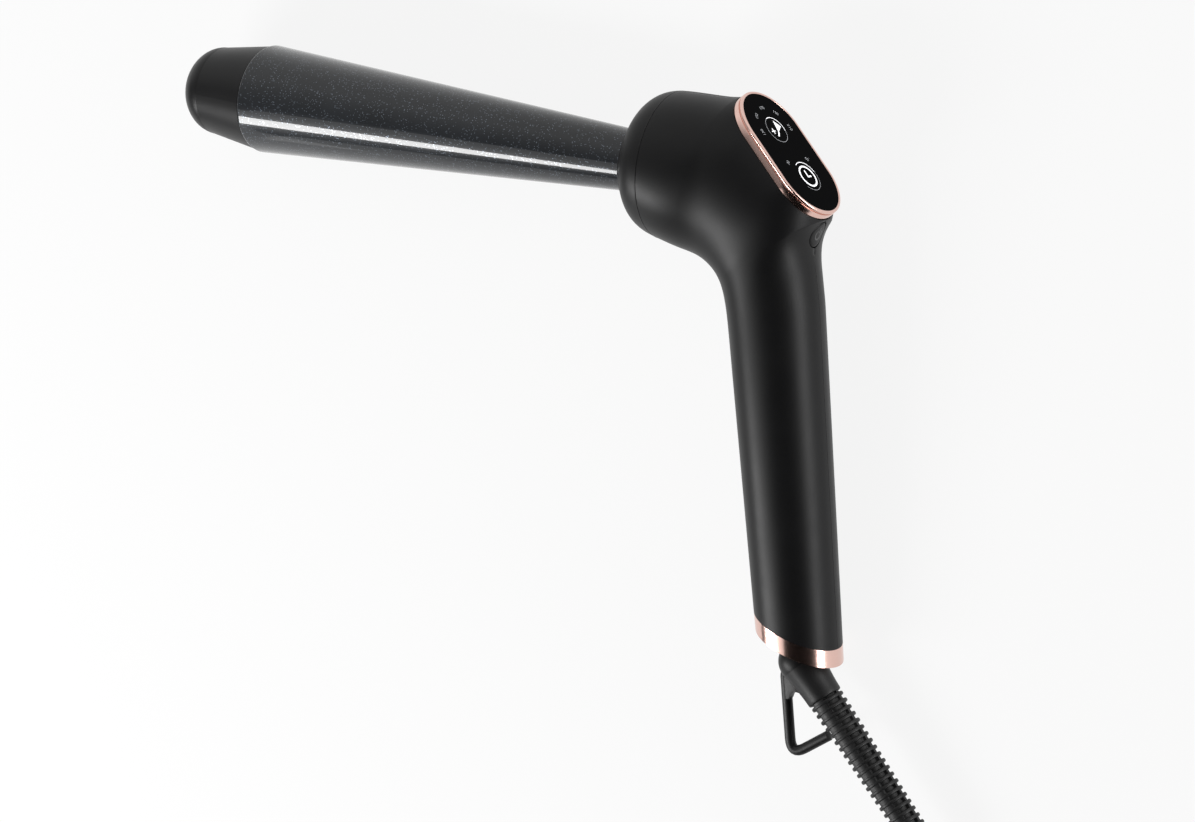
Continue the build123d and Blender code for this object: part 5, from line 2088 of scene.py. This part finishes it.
@dataclass
class Studio:
    """Pale floor, white surround, soft lamps and black cards.

    Attributes:
        floor_size: Side of the floor in metres.
        floor_color: Grey of the floor as light falls on it.
        seen_white: How much of the floor's look is plain white where it is seen.
        dim_surround: Strength of the surround as light.
        above_floor: Height at which a card is cut off.
        panels: Lamps and cards.
    """

    plane: ToolPlane
    floor_size: float = 6.0
    floor_color: Color = (0.80, 0.80, 0.80)
    seen_white: float = 0.88
    dim_surround: float = 0.40
    above_floor: float = 0.002
    panels: tuple[Panel, ...] = (
        Panel("strip", (-0.60, -0.50, 0.64), 0.9, (0.60, 0.20), 20.0, (-0.985, 0.174, 0), (-130, 20)),
        Panel("left_box", (-0.90, -0.12, 0.42), 0.8, (0.60, 0.34), 0.4),
        Panel("right_box", (0.985, -0.10, 0.08), 0.75, (0.80, 0.22), 7.5),
        Panel("low_box", (-0.62, -0.76, 0.20), 0.75, (0.40, 0.20), 0.9, (0.76, -0.62, 0)),
        Panel("curtain", (0.52, -0.28, 0.81), 1.35, (2.2, 2.6)),
        Panel(
            "barrel_card", (-0.47, 0.30, 0.83), 0.9, (1.0, 1.0), 0.0, (-0.985, 0.174, 0), (-120, 20), (1.0, 0.0)
        ),
        Panel("lower_card", (-0.10, -0.93, 0.34), 1.0, (1.6, 0.86), 0.0, (-1, 0, 0), (-120, 20)),
        Panel("left_card", (-0.96, -0.12, 0.25), 1.05, (1.0, 0.56)),
    )

    def floor_finish(self) -> bpy.types.Material:
        """White where it is seen, with the tool's faint shadow kept.

        Returns:
            The material.
        """
        material = bpy.data.materials.new("studio_floor")
        material.use_nodes = True
        tree = SeenTree(material.node_tree, "ShaderNodeOutputMaterial")
        lit = tree.add("ShaderNodeBsdfDiffuse", {}, {"Color": (*self.floor_color, 1)})
        white = tree.add("ShaderNodeEmission", {}, {"Strength": 1.0})
        tree.show(tree.seen() * self.seen_white, lit, white)
        return material

    def card_finish(self, panel: Panel) -> bpy.types.Material:
        """Black velvet, with a glow that changes up the card where it has one.

        Args:
            panel: The card.

        Returns:
            The material.
        """
        finish = NodeFinish(panel.name)
        nap = finish.noise(0.01, 2.0)
        finish.feed(Socket.COLOR, finish.mix(nap, (0.004, 0.004, 0.004), (0.008, 0.008, 0.008)))
        finish.constant(Roughness=1.0, Specular_IOR_Level=0.0)
        if max(panel.glow):
            place = finish.add("ShaderNodeUVMap", {}, {})
            across = finish.add("ShaderNodeSeparateXYZ", {}, {"Vector": place}, "Y")
            low, high = (((value,) * 3) for value in panel.glow)
            finish.feed(Socket.EMISSION, finish.mix(across, low, high))
            finish.constant(Emission_Strength=1.0)
        return finish.material

    def floor(self) -> None:
        """Lays the floor under the tool."""
        half = self.floor_size / 2
        mesh = bpy.data.meshes.new("floor")
        corners = [(-half, -half, 0), (half, -half, 0), (half, half, 0), (-half, half, 0)]
        mesh.from_pydata(corners, [], [(0, 1, 2, 3)])
        mesh.materials.append(self.floor_finish())
        floor = put("floor", mesh)
        floor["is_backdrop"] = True

    def world(self) -> None:
        """Surround: white where it is seen, dimmer as light."""
        world = bpy.data.worlds.new("surround")
        bpy.context.scene.world = world
        world.use_nodes = True
        tree = SeenTree(world.node_tree, "ShaderNodeOutputWorld")
        white = {"Color": (1, 1, 1, 1)}
        dim = tree.add("ShaderNodeBackground", {}, white | {"Strength": self.dim_surround})
        bright = tree.add("ShaderNodeBackground", {}, white | {"Strength": 1.0})
        tree.show(tree.seen(), dim, bright)

    def stand(self, panel: Panel) -> Matrix:
        """Place of a panel: its own X along its long side, its own -Z toward the tool.

        Args:
            panel: Lamp or card.

        Returns:
            The place as a matrix.
        """
        toward = self.plane.way(*panel.toward).normalized()
        along = self.plane.way(*panel.along)
        along = (along - toward * along.dot(toward)).normalized()
        centre = self.plane.at(*panel.origin) + toward * panel.distance
        turn = Matrix((along, toward.cross(along), toward)).transposed().to_4x4()
        return Matrix.Translation(centre) @ turn

    def lamp(self, panel: Panel) -> None:
        """Adds a soft rectangular lamp of a given radiance.

        Args:
            panel: The lamp.
        """
        data = bpy.data.lights.new(panel.name, "AREA")
        data.shape, data.size, data.size_y = "RECTANGLE", *panel.size
        data.energy = panel.radiance * math.pi * panel.size[0] * panel.size[1]
        lamp = put(panel.name, data)
        lamp.visible_camera = False
        lamp.matrix_world = self.stand(panel)

    def card(self, panel: Panel) -> None:
        """Adds a card, cut off above the floor.

        Args:
            panel: The card.
        """
        half_x, half_y = panel.size[0] / 2, panel.size[1] / 2
        place = self.stand(panel)
        signs = ((-1, -1), (1, -1), (1, 1), (-1, 1))
        corners = [place @ Vector((x * half_x, y * half_y, 0)) for x, y in signs]
        for corner in corners:
            corner.z = max(corner.z, self.above_floor)
        mesh = bpy.data.meshes.new(panel.name)
        mesh.from_pydata(corners, [], [(0, 1, 2, 3)])
        layer = mesh.uv_layers.new(name="across")
        for loop, (x, y) in zip(layer.data, signs):
            loop.uv = ((x + 1) / 2, (y + 1) / 2)
        mesh.materials.append(self.card_finish(panel))
        card = put(panel.name, mesh)
        card.visible_camera = False
        card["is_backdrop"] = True

    def build(self) -> None:
        """Sets floor, surround, lamps and cards."""
        bpy.context.scene.view_settings.view_transform = "Standard"
        self.floor()
        self.world()
        for panel in self.panels:
            if panel.radiance:
                self.lamp(panel)
            else:
                self.card(panel)
        LOG.info("studio with %d lamps and cards", len(self.panels))


def main() -> None:
    """Builds the tool's pieces, the cord and the studio."""
    logging.basicConfig(level=logging.INFO, format="%(name)s: %(message)s")
    plane = ToolPlane()
    palette = Palette()
    Viewpoint(plane).build()
    palette.dress_nodes()
    back = Housing(plane, palette).build()
    PowerButton(plane, palette, back).build()
    TouchPanel(plane, palette).build()
    StrainRelief(plane, palette).build()
    CordSet(plane, palette).build()
    Studio(plane).build()
    boxes = {"cad": CAD_BOUNDS, "visual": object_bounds()}
    {name: [list(low), list(high)] for name, (low, high) in boxes.items()}


if __name__ == "__main__":
    main()
